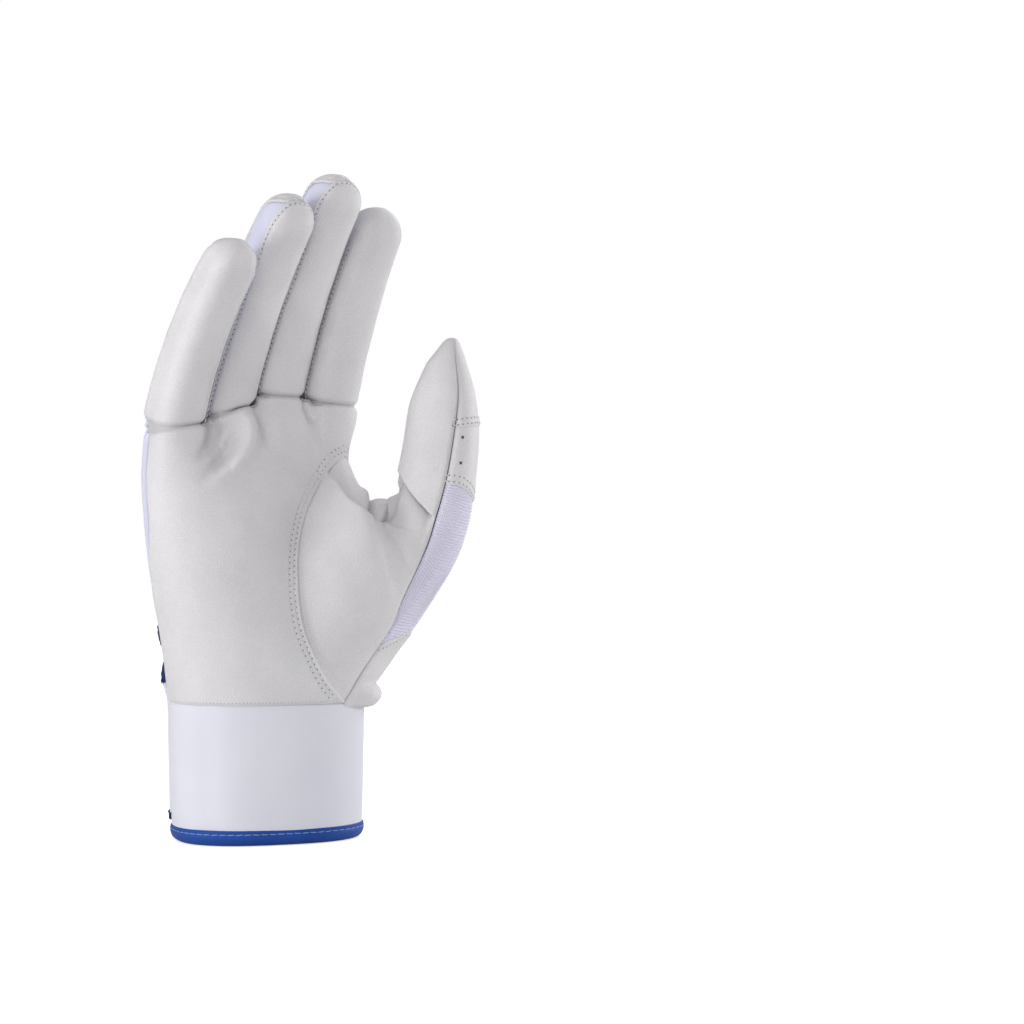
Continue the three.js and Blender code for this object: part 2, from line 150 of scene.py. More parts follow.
def awayFrom(p, line):  # distance of each point from a line
    tree = treeOf(refined(line))
    return np.array([tree.find(q)[2] for q in p.reshape(-1, 3)]).reshape(p.shape[:-1])


def smoothPath(path):
    path = np.array(path, float)
    t = np.linspace(0, len(path) - 1, 6 * len(path) - 5)
    return np.stack([through(path[:, k], t) for k in (0, 1)], -1)


def besidePath(spots, path):  # millimetres from a path on the photo, its side (1 left, -1 right) and share
    path = smoothPath(path)
    best, side, share = [np.full(spots.shape[:-1], x) for x in (1e9, 1.0, 0.0)]
    for k, (a, b) in enumerate(zip(path[:-1], path[1:])):
        t = np.clip(((spots - a) @ (b - a)) / max((b - a) @ (b - a), 1e-9), 0, 1)
        d = np.linalg.norm(spots - a - t[..., None] * (b - a), axis=-1)
        turn = (b[0] - a[0]) * (spots[..., 1] - a[1]) - (b[1] - a[1]) * (spots[..., 0] - a[0])
        near = d < best
        side, share = np.where(near, -np.sign(turn), side), np.where(near, (k + t) / (len(path) - 1), share)
        best = np.minimum(best, d)
    return best * photoView["distance"] / viewFocal, side, share


# Wires and benches: node trees written as sums
class Wire:
    def __init__(self, bench, socket):
        self.bench, self.socket = bench, socket

    def math(self, operation, a, b=0.0):
        return self.bench.add("ShaderNodeMath", {"operation": operation}, {0: a, 1: b})

    def __add__(self, other):
        return self.math("ADD", self, other)

    def __sub__(self, other):
        return self.math("SUBTRACT", self, other)

    def __rsub__(self, other):
        return self.math("SUBTRACT", other, self)

    def __mul__(self, other):
        return self.math("MULTIPLY", self, other)

    __radd__ = __add__
    __rmul__ = __mul__

    def sine(self):
        return self.math("SINE", self)


class Bench:
    def __init__(self, tree):
        self.tree = tree

    def add(self, kind, settings=None, sockets=None, out=0):
        node = self.tree.nodes.new(kind)
        for key, value in (settings or {}).items():
            setattr(node, key, value)
        for key, value in (sockets or {}).items():
            if isinstance(value, Wire):
                self.tree.links.new(value.socket, node.inputs[key])
            else:
                node.inputs[key].default_value = value
        return Wire(self, node.outputs[out] if len(node.outputs) else None)

    def blendColour(self, share, a, b):
        return self.add("ShaderNodeMix", {"data_type": "RGBA"}, {0: share, 6: a, 7: b}, out=2)

    def noise(self, spot, size, detail):
        return self.add("ShaderNodeTexNoise", None, {"Vector": spot, "Scale": 1 / size, "Detail": detail})

    def rise(self, value, low, high):  # 0 at low, 1 at high, soft between
        sockets = {"Value": value, "From Min": low, "From Max": high}
        return self.add("ShaderNodeMapRange", {"interpolation_type": "SMOOTHSTEP"}, sockets)


def srgb(r, g, b):  # a colour read as 0 to 255
    linear = [((c / 255 + 0.055) / 1.055) ** 2.4 if c > 10 else c / 255 / 12.92 for c in (r, g, b)]
    return (*linear, 1.0)


def newFinish(name):
    material = bpy.data.materials.new(name)
    material.use_nodes = True
    material.node_tree.nodes.clear()
    bench = Bench(material.node_tree)
    return material, bench


def closeFinish(bench, colour, roughness, height, strength, depth, fixed=None):
    bump = bench.add("ShaderNodeBump", None, {"Height": height, "Strength": strength, "Distance": depth})
    sockets = {"Base Color": colour, "Roughness": roughness, "Normal": bump}
    sockets.update(fixed or {})
    shader = bench.add("ShaderNodeBsdfPrincipled", None, sockets)
    bench.add("ShaderNodeOutputMaterial", None, {"Surface": shader})


def crease(bench):
    return bench.add("ShaderNodeAttribute", {"attribute_name": "crease"}, out="Fac")


def toneAndCreaseShade(bench, look, cloud, gaps):  # two tones in clouds, dark in the gaps, and painted shade in the creases
    colour = bench.blendColour(bench.rise(cloud, 0.3, 0.7), look["colour"], look["second"])
    colour = bench.blendColour(gaps, colour, look["dark"])
    # painted shade: the crease attribute pulls the colour towards the dark tone
    return bench.blendColour(crease(bench) * look["creaseShade"], colour, look["dark"])


def leatherFinish(name, look):
    material, bench = newFinish(name)
    spot = bench.add("ShaderNodeTexCoord", out="Object")
    drift = bench.noise(spot, look["drift"], 2.0)
    pores = bench.add("ShaderNodeTexVoronoi", {"feature": "DISTANCE_TO_EDGE"},
                      {"Vector": spot, "Scale": 1 / look["pebble"], "Randomness": 0.9})
    fine = bench.noise(spot, look["fine"], 3.0)
    cloud = bench.noise(spot, look["cloud"], 3.0)
    pebble = bench.rise(pores + (drift - 0.5) * 0.12, 0.02, 0.3)
    colour = toneAndCreaseShade(bench, look, cloud, (1 - pebble) * look["pore"])
    rough = look["rough"] + (fine - 0.5) * 0.25 - pebble * 0.06
    closeFinish(bench, colour, rough, pebble * 0.65 + fine * 0.5, look["bump"], look["depth"],
                {"Specular IOR Level": look["gloss"], "Sheen Weight": 0.08, "Sheen Roughness": 0.5})
    return material


def clothFinish(name, look):  # a fine knit or weave that follows the piece
    material, bench = newFinish(name)
    spot = bench.add("ShaderNodeTexCoord", out="Object")
    place = bench.add("ShaderNodeUVMap", {"uv_map": "panel"})
    parts = bench.add("ShaderNodeSeparateXYZ", None, {"Vector": place})
    along = Wire(bench, parts.socket.node.outputs["Y"])
    turn = 2 * math.pi
    wales = (parts * (turn / look["wale"]) + along * (look["slant"] * turn / look["course"])).sine()
    courses = (along * (turn / look["course"])).sine()
    loops = wales * look["waleShare"] + courses * (1 - look["waleShare"])
    fuzz = bench.noise(spot, look["fuzz"], 3.0)
    cloud = bench.noise(spot, look["cloud"], 2.0)
    colour = toneAndCreaseShade(bench, look, cloud, (0.5 - loops * 0.5) * look["gap"])
    rough = look["rough"] + (fuzz - 0.5) * 0.2
    closeFinish(bench, colour, rough, loops * 0.5 + fuzz * 0.5, look["bump"], look["depth"],
                {"Specular IOR Level": look["gloss"], "Sheen Weight": look["sheen"], "Sheen Roughness": 0.4})
    return material


leatherLook = {"pebble": 0.85 * mm, "fine": 0.35 * mm, "drift": 2.5 * mm, "cloud": 22 * mm, "rough": 0.56,
               "bump": 0.35, "depth": 0.22 * mm, "gloss": 0.42, "pore": 0.16, "creaseShade": 0.55,
               "colour": srgb(216, 214, 216), "second": srgb(209, 207, 210), "dark": srgb(150, 147, 152)}
cuffLook = {"wale": 0.75 * mm, "course": 0.6 * mm, "slant": 0.0, "waleShare": 0.7, "fuzz": 0.25 * mm,
            "cloud": 30 * mm, "rough": 0.78, "bump": 0.25, "depth": 0.15 * mm, "gloss": 0.25, "sheen": 0.2,
            "gap": 0.12, "creaseShade": 0.4, "colour": srgb(218, 218, 227), "second": srgb(214, 214, 224),
            "dark": srgb(176, 176, 190)}
stretchLook = dict(cuffLook, wale=0.5 * mm, course=0.5 * mm, slant=0.5, waleShare=0.5, gap=0.15, sheen=0.25,
                   colour=srgb(208, 209, 226), second=srgb(201, 202, 221), dark=srgb(158, 158, 184))
meshLook = dict(cuffLook, wale=0.8 * mm, course=0.95 * mm, slant=0.0, waleShare=0.45, gap=0.45, bump=0.5,
                colour=srgb(226, 224, 240), second=srgb(218, 216, 235), dark=srgb(150, 146, 172))
blueLook = dict(cuffLook, wale=0.45 * mm, course=0.45 * mm, slant=1.0, waleShare=0.6, gap=0.35, rough=0.6,
                gloss=0.3, sheen=0.04, creaseShade=0.5, colour=srgb(24, 78, 168), second=srgb(18, 68, 152),
                dark=srgb(8, 28, 80))
padLook = dict(cuffLook, wale=0.9 * mm, course=0.9 * mm, slant=0.0, waleShare=0.5, gap=0.3, rough=0.9,
               fuzz=0.4 * mm, bump=0.8, depth=0.4 * mm, colour=srgb(214, 215, 224),
               second=srgb(204, 205, 216), dark=srgb(140, 141, 155))
threadLook = dict(cuffLook, wale=0.3 * mm, course=0.3 * mm, gap=0.0, rough=0.6, sheen=0.0,
                  colour=srgb(222, 221, 224), second=srgb(212, 211, 216), dark=srgb(150, 150, 158))


def tinted(name, look, colour, second):
    return clothFinish(name, dict(look, colour=srgb(*colour), second=srgb(*second)))


leather = leatherFinish("whiteLeather", leatherLook)
cuffCloth = clothFinish("cuffJersey", cuffLook)
stretch = clothFinish("stretchKnit", stretchLook)
meshKnit = clothFinish("ribbedMesh", meshLook)
blueCloth = clothFinish("blueBinding", blueLook)
# painted shade: a darker copy of the binding blue for the trim and strap bindings that lie in shadow
shadedBlueCloth = tinted("shadedBlueTrim", blueLook, (22, 44, 100), (16, 34, 82))
padCloth = clothFinish("closurePile", padLook)
thread = clothFinish("paleThread", threadLook)
blueThread = tinted("blueThread", threadLook, (112, 152, 214), (98, 138, 204))
# painted shade: a darker copy of the blue thread for the stitches on those bindings
shadedBlueThread = tinted("shadedBlueThread", threadLook, (34, 60, 120), (26, 50, 104))
# dark discs for the needle holes: painted shade of the holes
needleHole = tinted("needleHole", threadLook, (112, 108, 112), (92, 89, 94))
softHole = tinted("softHole", threadLook, (126, 123, 128), (112, 109, 115))
# painted shade: the dark colour of the vent holes
ventDark = tinted("ventDark", threadLook, (92, 90, 94), (80, 79, 84))
print("finishes ready")


# One cut panel: a grid on a surface, its relief, its painted shade and its closed wall
class Panel:
    def __init__(self, surface, rows, columns, keep=None, ring=False, normal=None):
        self.c, self.v = np.meshgrid(np.asarray(columns, float), np.asarray(rows, float))
        self.p = surface(self.c.ravel(), self.v.ravel()).reshape(self.c.shape + (3,))
        self.keep = np.ones((len(rows) - 1, len(columns) - 1), bool) if keep is None else keep
        n = np.cross(np.gradient(self.p, axis=0), np.gradient(self.p, axis=1))
        size = np.linalg.norm(n, axis=2)
        n = n / np.maximum(size, 1e-12)[..., None]
        if ring:
            n[:, 0] = n[:, -1] = n[:, 0] + n[:, -1]
        for r, near in ((0, 1), (-1, -2)):  # a row drawn together to a point
            if np.linalg.norm(self.p[r] - self.p[r, 0], axis=1).max() < 1e-6:
                n[r] = n[near].mean(axis=0)
        self.n = n / np.maximum(np.linalg.norm(n, axis=2), 1e-12)[..., None]
        if normal:
            self.n = normal(self.c.ravel(), self.v.ravel()).reshape(self.p.shape)
        self.relief = np.zeros(self.c.shape)
        # painted shade per point, handed to the shader as the crease attribute
        self.crease = np.zeros(self.c.shape)

    def even(self, times):
        for _ in range(times):
            n = np.pad(self.n, ((1, 1), (1, 1), (0, 0)), mode="edge")
            self.n = n[1:-1, 1:-1] * 2 + n[:-2, 1:-1] + n[2:, 1:-1] + n[1:-1, :-2] + n[1:-1, 2:]
            self.n /= np.linalg.norm(self.n, axis=2)[..., None]

    def top(self):
        return self.p + self.n * self.relief[..., None]

    def away(self, line):
        return awayFrom(self.p, line)

    # painted shade: keeps the darkest share given so far
    def paintShade(self, share):
        self.crease = np.maximum(self.crease, share)

    def groove(self, d, deep, wide, dark):  # pressed in where the distance is 0, with painted shade along it
        self.relief -= deep * bell(d, wide)
        self.paintShade(dark * bell(d, wide))

    def roundEdge(self, d, radius):
        t = np.clip(1 - d / radius, 0, 1)
        self.relief -= radius * (1 - np.sqrt(1 - 0.98 * t * t))

    def press(self, groove, *lines):
        for line in lines:
            self.groove(self.away(line), *groove)

    def roundOff(self, radius, *lines):
        for line in lines:
            self.roundEdge(self.away(line), radius)

    def folds(self, table, past=0.0):  # ridges and valleys placed on the photo, sizes in millimetres, with painted shade along them
        spots = onPhoto(self.top())
        facing = soft((self.n @ viewBack + past + 0.02) / 0.25)
        for path, wide, high, dark in table:
            d, _, share = besidePath(spots, path)
            shown = facing * soft(share / 0.25) * soft((1 - share) / 0.35)
            self.relief += high * bell(d, wide) * shown
            self.paintShade(dark * bell(d, 0.7 * wide) * shown)

    def tuck(self, path, reach, deep, lap, dark, share):  # a path's right side goes under its left, with painted shade on the lower side
        spots = onPhoto(self.top())
        facing = soft((self.n @ viewBack + 0.1) / 0.3) * share
        d, side, _ = besidePath(spots, path)
        under = soft(0.5 - side * d / 0.5)
        way = np.subtract(path[-1], path[0])
        way = way / np.linalg.norm(way)
        across = -way[1] * viewRight - way[0] * viewUp
        self.p = self.p + (lap * np.exp(-d / reach) * (1 - under) * facing)[..., None] * across
        self.relief -= deep * np.exp(-d / reach) * under * facing
        self.paintShade(dark * np.exp(-np.maximum(0, d - lap) / 1.7) * under * facing)

    def lips(self, table):  # steps: the side to the left of the path stands up, the other lies lower, with painted shade along the step
        spots = onPhoto(self.top())
        facing = soft((self.n @ viewBack + 0.1) / 0.3)
        for path, wide, high, dark in table:
            d, side, _ = besidePath(spots, path)
            self.relief += high * np.tanh(side * d / 0.4) * np.exp(-d / wide) * facing
            self.paintShade(dark * bell(d, 0.55) * facing)

    def uneven(self, high, size, seed):
        self.relief += high * ripple(self.p, size, seed)

    def settle(self, q):  # puts points on the finished face and gives its normals there
        top = self.top().reshape(-1, 3)
        flat = self.n.reshape(-1, 3)
        tree = treeOf(top)
        spots, lays = [], []
        for x in q:
            near = tree.find_n(x, 5)
            share = np.array([1 / (d * d + 0.01) for _, _, d in near])
            ids = [i for _, i, _ in near]
            share = share / share.sum()
            lay = share @ flat[ids]
            lay = lay / np.linalg.norm(lay)
            spots.append(x - lay * ((x - share @ top[ids]) @ lay))
            lays.append(lay)
        return np.array(spots), np.array(lays)

    def row(self, line, inset, step=0.6):  # a line at a distance inside an edge
        fine = refined(line, step)
        spots, lays = self.settle(fine)
        way = np.gradient(fine, axis=0)
        side = np.cross(lays, way)
        side = side / np.maximum(np.linalg.norm(side, axis=1), 1e-9)[:, None]
        tries = [fine + side * inset, fine - side * inset]
        middle = self.p[::4, ::4].reshape(-1, 3)
        far = [np.mean([np.min(np.linalg.norm(middle - x, axis=1)) for x in t[::6]]) for t in tries]
        return self.settle(tries[int(far[1] < far[0])])

    def shell(self, name, thick, finish):
        top = self.top()
        under = top - self.n * thick
        rows, columns = self.c.shape
        half = rows * columns
        at = np.arange(half).reshape(rows, columns)
        a, b, d, e = at[:-1, :-1], at[:-1, 1:], at[1:, :-1], at[1:, 1:]
        k = self.keep
        faces = [np.stack([a, d, e, b], -1)[k], np.stack([a, b, e, d], -1)[k] + half]
        gone = np.pad(~k, 1, constant_values=True)
        for x, y, lost in ((a, b, gone[:-2, 1:-1]), (b, e, gone[1:-1, 2:]),
                           (e, d, gone[2:, 1:-1]), (d, a, gone[1:-1, :-2])):
            m = k & lost
            faces.append(np.stack([x[m], y[m], y[m] + half, x[m] + half], -1))
        faces = np.concatenate(faces)
        run = [lengthAlong(line) for line in (self.p[rows // 2], self.p[:, columns // 2])]
        place = np.stack(np.meshgrid(*run), -1).reshape(-1, 2) * mm
        points = np.concatenate([top.reshape(-1, 3), under.reshape(-1, 3)]) * mm
        mesh = bpy.data.meshes.new(name)
        mesh.from_pydata(points.tolist(), [], faces.tolist())
        # the painted shade goes out as the crease attribute
        mesh.attributes.new("crease", "FLOAT", "POINT").data.foreach_set(
            "value", np.concatenate([self.crease.ravel()] * 2).clip(0, 1).astype(np.float32))
        uv = mesh.uv_layers.new(name="panel")
        corner = np.zeros(len(mesh.loops), int)
        mesh.loops.foreach_get("vertex_index", corner)
        uv.data.foreach_set("uv", place[corner % half].astype(np.float32).ravel())
        return finishMesh(name, mesh, finish)


def finishMesh(name, mesh, finish):
    work = bmesh.new()
    work.from_mesh(mesh)
    bmesh.ops.remove_doubles(work, verts=work.verts, dist=1e-6)
    bmesh.ops.delete(work, geom=[v for v in work.verts if not v.link_faces], context="VERTS")
    work.to_mesh(mesh)
    work.free()
    mesh.shade_smooth()
    if finish:
        mesh.materials.append(finish)
    piece = bpy.data.objects.new(name, mesh)
    bpy.context.scene.collection.objects.link(piece)
    return piece


def fit(piece, slot, nodes, body, other=None, span=None):
    if other:
        tuple(span[0] * mm)
        tuple(span[1] * mm)
        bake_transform(piece)
    else:
        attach(piece, body)
    if nodes:
        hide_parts(*nodes)
    return piece


# Stitches: one tree, fed with lines that carry the leather's normals
stitchLook = {"steps": 5, "sides": 6, "foot": -0.9, "top": 1.9, "holeSides": 8, "holeLift": 0.2}


def stitchTree():
    tree = bpy.data.node_groups.new("stitchRow", "GeometryNodeTree")
    sockets = (("Geometry", "Geometry"), ("Pitch", "Float"), ("Length", "Float"), ("Thickness", "Float"),
               ("Hole", "Float"), ("Wander", "Float"), ("Seed", "Int"), ("Thread", "Material"),
               ("Dark", "Material"))
    for name, kind in sockets:
        tree.interface.new_socket(name, in_out="INPUT", socket_type="NodeSocket" + kind)
    tree.interface.new_socket("Geometry", in_out="OUTPUT", socket_type="NodeSocketGeometry")
    bench = Bench(tree)
    source = tree.nodes.new("NodeGroupInput")
    given = {name: Wire(bench, source.outputs[name]) for name, _ in sockets}
    curve = bench.add("GeometryNodeMeshToCurve", None, {"Mesh": given["Geometry"]})
    dots = bench.add("GeometryNodeResampleCurve", {"mode": "LENGTH"},
                     {"Curve": curve, "Length": given["Pitch"]})
    lay = bench.add("GeometryNodeInputNamedAttribute", {"data_type": "FLOAT_VECTOR"}, {"Name": "lay"})
    way = bench.add("GeometryNodeInputTangent")
    turn = bench.add("FunctionNodeAxesToRotation", {"primary_axis": "Z", "secondary_axis": "X"},
                     {"Primary Axis": lay, "Secondary Axis": way})
    yaw = bench.add("FunctionNodeRandomValue", {"data_type": "FLOAT"},
                    {"Min": given["Wander"] * -1.0, "Max": given["Wander"], "Seed": given["Seed"]},
                    out="Value")
    yaw = Wire(bench, next(o for o in yaw.socket.node.outputs if o.enabled))
    tilt = bench.add("ShaderNodeCombineXYZ", None, {"Z": yaw})
    tilt = bench.add("FunctionNodeEulerToRotation", None, {"Euler": tilt})
    turn = bench.add("FunctionNodeRotateRotation", {"rotation_space": "LOCAL"},
                     {"Rotation": turn, "Rotate By": tilt})

    def spot(x, up):  # a place beside a dot
        return bench.add("ShaderNodeCombineXYZ", None, {"X": x, "Z": given["Thickness"] * up})

    def atDots(thing, finish):
        sockets = {"Points": dots, "Instance": thing, "Rotation": turn}
        copies = bench.add("GeometryNodeInstanceOnPoints", None, sockets)
        copies = bench.add("GeometryNodeRealizeInstances", None, {"Geometry": copies})
        return bench.add("GeometryNodeSetMaterial", None, {"Geometry": copies, "Material": finish})

    reach = given["Length"] * 0.5
    start, end = [spot(x, stitchLook["foot"]) for x in (reach * -1.0, reach)]
    arc = bench.add("GeometryNodeCurveQuadraticBezier", None,
                    {"Resolution": stitchLook["steps"], "Start": start, "End": end,
                     "Middle": spot(0.0, stitchLook["top"])})
    profile = bench.add("GeometryNodeCurvePrimitiveCircle", {"mode": "RADIUS"},
                        {"Resolution": stitchLook["sides"], "Radius": given["Thickness"]})
    strand = bench.add("GeometryNodeCurveToMesh", None,
                       {"Curve": arc, "Profile Curve": profile, "Fill Caps": True})
    # a flat dark disc beside each stitch: painted shade of the needle hole
    disc = bench.add("GeometryNodeMeshCircle", {"fill_type": "NGON"},
                     {"Vertices": stitchLook["holeSides"], "Radius": given["Hole"]})
    shift = spot(given["Pitch"] * 0.5, stitchLook["holeLift"])
    disc = bench.add("GeometryNodeTransform", None, {"Geometry": disc, "Translation": shift})
    both = tree.nodes.new("GeometryNodeJoinGeometry")
    for part in (atDots(disc, given["Dark"]), atDots(strand, given["Thread"])):
        tree.links.new(part.socket, both.inputs[0])
    sink = tree.nodes.new("NodeGroupOutput")
    tree.links.new(both.outputs[0], sink.inputs[0])
    return tree


stitchRowTree = stitchTree()
leatherSeam = {"Pitch": 1.9 * mm, "Length": 1.45 * mm, "Thickness": 0.2 * mm, "Hole": 0.27 * mm,
               "Wander": 0.09, "Seed": 3, "Thread": thread, "Dark": needleHole}
ballSeam = dict(leatherSeam, Pitch=2.1 * mm, Length=1.5 * mm, Hole=0.27 * mm, Dark=softHole)
wristSeam = dict(ballSeam, Pitch=1.3 * mm, Length=0.95 * mm, Thickness=0.14 * mm, Hole=0.14 * mm)
hemSeam = dict(leatherSeam, Pitch=2.9 * mm, Length=2.2 * mm, Thickness=0.2 * mm, Hole=0.18 * mm,
               Thread=blueThread)
trimSeam = dict(hemSeam, Thread=shadedBlueThread)


def runTree(name, piece, tree, values):  # a tree's result as a plain mesh
    piece.name = name
    modifier = piece.modifiers.new(name, "NODES")
    modifier.node_group = tree
    for item in tree.interface.items_tree:
        if item.in_out == "INPUT" and item.name in values:
            modifier[item.identifier] = values[item.name]
    bpy.context.view_layer.update()
    mesh = bpy.data.meshes.new_from_object(piece.evaluated_get(bpy.context.evaluated_depsgraph_get()))
    piece.modifiers.clear()
    piece.data = mesh
    mesh.name = name
    mesh.shade_smooth()
    return piece


def linesMesh(name, rows):
    points, lays, edges = [], [], []
    for spots, lay in rows:
        edges += [(len(points) + i, len(points) + i + 1) for i in range(len(spots) - 1)]
        points += list(spots * mm)
        lays += list(lay)
    mesh = bpy.data.meshes.new(name)
    mesh.from_pydata(np.array(points).tolist(), edges, [])
    kept = mesh.attributes.new("lay", "FLOAT_VECTOR", "POINT")
    kept.data.foreach_set("vector", np.array(lays, np.float32).ravel())
    piece = bpy.data.objects.new(name, mesh)
    bpy.context.scene.collection.objects.link(piece)
    return piece


def sewRows(name, rows, values, slot, *bodies):
    fit(runTree(name, linesMesh(name, rows), stitchRowTree, values), slot, [], *bodies)


# The hand's own shape: sections up from the wrist, then the row of finger creases
cuff = {"height": 49.0, "hemWide": 67.5, "hemDeep": 50.0, "topWide": 69.5, "topDeep": 52.0, "twist": -18.0,
        "square": 2.4, "thick": 2.2, "hem": 5.5, "hemLip": 0.5, "slitFrom": 252.0, "slitTo": 288.0}
handSections = (  # height, x, y, half-width, front, back, squareness, twist
    (0.0, 0.0, 0.0, 35.1, 26.4, 26.2, cuff["square"], cuff["twist"]),
    (20.0, -0.4, 1.6, 37.6, 27.5, 24.4, 2.2, -11.0),
    (46.0, -0.4, 5.5, 42.0, 26.0, 20.0, 2.3, -2.0),
    (76.0, -0.2, 9.0, 44.0, 20.5, 16.2, 2.5, 0.0))
waist = {"in": 6.0, "from": 0.66, "angle": 10.0}  # drawn in between index finger and thumb
fingerGap, knuckleLeft = 1.1, -44.0
fingerSquare, taperWide, taperDeep, tipRound, middleFold, stretchBack = 2.7, 0.14, 0.24, 10.0, 0.44, 19.0
fingers = [  # tilt slants the crease, turn brings the side seam forward from foot to tip
    {"name": "little", "wide": 19.0, "deep": 20.0, "long": 69.5, "up": 97.5, "y": -3.6,
     "lean": (17.0, 46.0), "fan": 4.1, "tilt": 1.6, "turn": (-9, -11, -11, -8, -3, 0)},
    {"name": "ring", "wide": 19.8, "deep": 22.0, "long": 80.0, "up": 103.5, "y": -2.2,
     "lean": (16.0, 41.0), "fan": 5.4, "tilt": 2.8, "turn": (8, 11, 14.5, 12, 3, 0)},
    {"name": "middle", "wide": 20.8, "deep": 23.0, "long": 82.5, "up": 109.0, "y": -2.0,
     "lean": (15.0, 39.0), "fan": 4.3, "tilt": -0.3, "turn": (4, 8, 12, 16, 6, 0)},
    {"name": "index", "wide": 22.0, "deep": 22.0, "long": 73.5, "up": 106.5, "y": -3.0,
     "lean": (14.0, 34.0), "fan": 4.1, "tilt": -0.7, "turn": (0, 0, 0, 0, 0, 0)}]
edgeX = knuckleLeft
for finger in fingers:
    finger["x"] = edgeX + finger["wide"] / 2
    finger["z"] = cuff["height"] + finger["up"]
    edgeX += finger["wide"] + fingerGap
knuckleRight = edgeX - fingerGap


def fingerPoint(finger, angle, u):
    base, turn = np.radians(finger["lean"][0]), np.radians(finger["lean"][1] - finger["lean"][0])
    long, deep = finger["long"], finger["deep"]
    c, s = cosSin(angle)
    across = rounded(c, fingerSquare)
    u = u + finger["tilt"] / long * across * np.maximum(0, 1 - np.abs(u) / 0.45) ** 2  # slanting crease
    lean = base + turn * u
    domeFrom = 1 - tipRound / long
    t = np.clip((u - domeFrom) / (1 - domeFrom), 0, 1)
    dome = np.sqrt(np.maximum(0, 1 - t * t))
    side = 0.5 * finger["wide"] * (1 - taperWide * u * u) * dome * across
    front = 0.5 * deep * (1 - taperDeep * u) * dome * rounded(s, fingerSquare)
    y = finger["y"] + 0.5 * deep * np.cos(base) - long * (np.cos(base) - np.cos(lean)) / turn
    z = finger["z"] + 0.5 * deep * np.sin(base) + long * (np.sin(lean) - np.sin(base)) / turn
    x = finger["x"] + side + long * u * np.tan(np.radians(finger["fan"]))
    return np.stack([x, y - front * np.cos(lean), z - front * np.sin(lean)], -1)


def swungPoint(finger, angle, degrees):  # the finger's foot swung back about its crease
    p = fingerPoint(finger, angle, np.zeros_like(angle))
    c, s = cosSin(degrees)
    y, z = p[:, 1] - finger["y"], p[:, 2] - finger["z"]
    return np.stack([p[:, 0], finger["y"] + y * c + z * s, finger["z"] - y * s + z * c], -1)


def knuckleAt(x, back, climb=False):  # upper edge of the hand at x, from its front (0) to its back (1)
    get = {k: np.array([f[k] for f in fingers]) for k in ("x", "y", "z", "wide", "deep", "tilt")}
    i = np.minimum(np.searchsorted(get["x"] + 0.5 * (get["wide"] + fingerGap), x, side="right"), 3)
    offset = x - get["x"][i]
    j = i + np.sign(offset).astype(int)
    pair = (j >= 0) & (j <= 3)
    j = np.where(pair, j, i)
    toEdge = 0.5 * (get["wide"][i] + fingerGap) - np.abs(offset)
    share = np.where(pair, soft(toEdge / (0.9 if climb else 2.5)), 1.0)
    rise = get["tilt"][i] * np.clip(2 * offset / get["wide"][i], -1, 1)
    meet = (np.maximum if climb else np.minimum)(get["z"][i] + get["tilt"][i] * np.sign(offset),
                                                 get["z"][j] - get["tilt"][j] * np.sign(offset) * pair)
    y = mix(0.5 * (get["y"][i] + get["y"][j]), get["y"][i], share)
    deep = mix(0.5 * (get["deep"][i] + get["deep"][j]), get["deep"][i], share)
    reach = np.minimum(np.abs(2 * offset) / get["wide"][i], np.where(pair, 0.84, 1.0))
    drop = 0.5 * deep * (1 - (1 - reach ** fingerSquare) ** (1 / fingerSquare))
    at = y + mix(drop, deep - drop, back)
    lean = np.array([f["lean"][0] for f in fingers])[i]
    fall = np.tan(np.radians(stretchBack + 1.2 - lean))
    up = mix(meet, get["z"][i] + rise, share) - 0.3 - fall * (at - y)
    return np.stack([x, at - rise * share * np.sin(np.radians(lean)), up], -1)


def knucklePoint(angle, climb=False):
    c, s = cosSin(angle)
    x = 0.5 * (knuckleLeft + knuckleRight) + 0.5 * (knuckleRight - knuckleLeft) * rounded(c, fingerSquare)
    return knuckleAt(x, np.where(s >= 0, 0.0, 1.0), climb)


def handPoint(angle, share):
    c, s = cosSin(angle)
    rings = [turned(x + wide * rounded(c, square), y - np.where(s >= 0, front, back) * rounded(s, square),
                    cuff["height"] + 0.3 + up, twist)
             for up, x, y, wide, front, back, square, twist in handSections]
    rings.append(knucklePoint(angle))
    p = through(np.stack(rings), share * (len(rings) - 1))
    p = p + (knucklePoint(angle, True) - rings[-1]) * soft((share - 0.94) / 0.06)[:, None]
    drawn = waist["in"] * np.sin(np.pi * np.clip((share - waist["from"]) / (1 - waist["from"]), 0, 1)) ** 2
    p[:, 0] -= drawn * np.maximum(0, cosSin(angle - waist["angle"])[0]) ** 3
    return p


def handNormal(angle, share):
    turn, lift = 0.05, 0.0008
    across = handPoint(angle + turn, share) - handPoint(angle - turn, share)
    along = handPoint(angle, share + lift) - handPoint(angle, share - lift)
    n = np.cross(along, across)
    return n / np.maximum(np.linalg.norm(n, axis=1), 1e-12)[:, None]


def cuffPoint(angle, z, off=0.0):
    t = z / cuff["height"]
    c, s = cosSin(angle)
    wide = 0.5 * mix(cuff["hemWide"], cuff["topWide"], t) + off
    deep = 0.5 * mix(cuff["hemDeep"], cuff["topDeep"], t) + off
    return turned(wide * rounded(c, cuff["square"]), -deep * rounded(s, cuff["square"]), z, cuff["twist"])


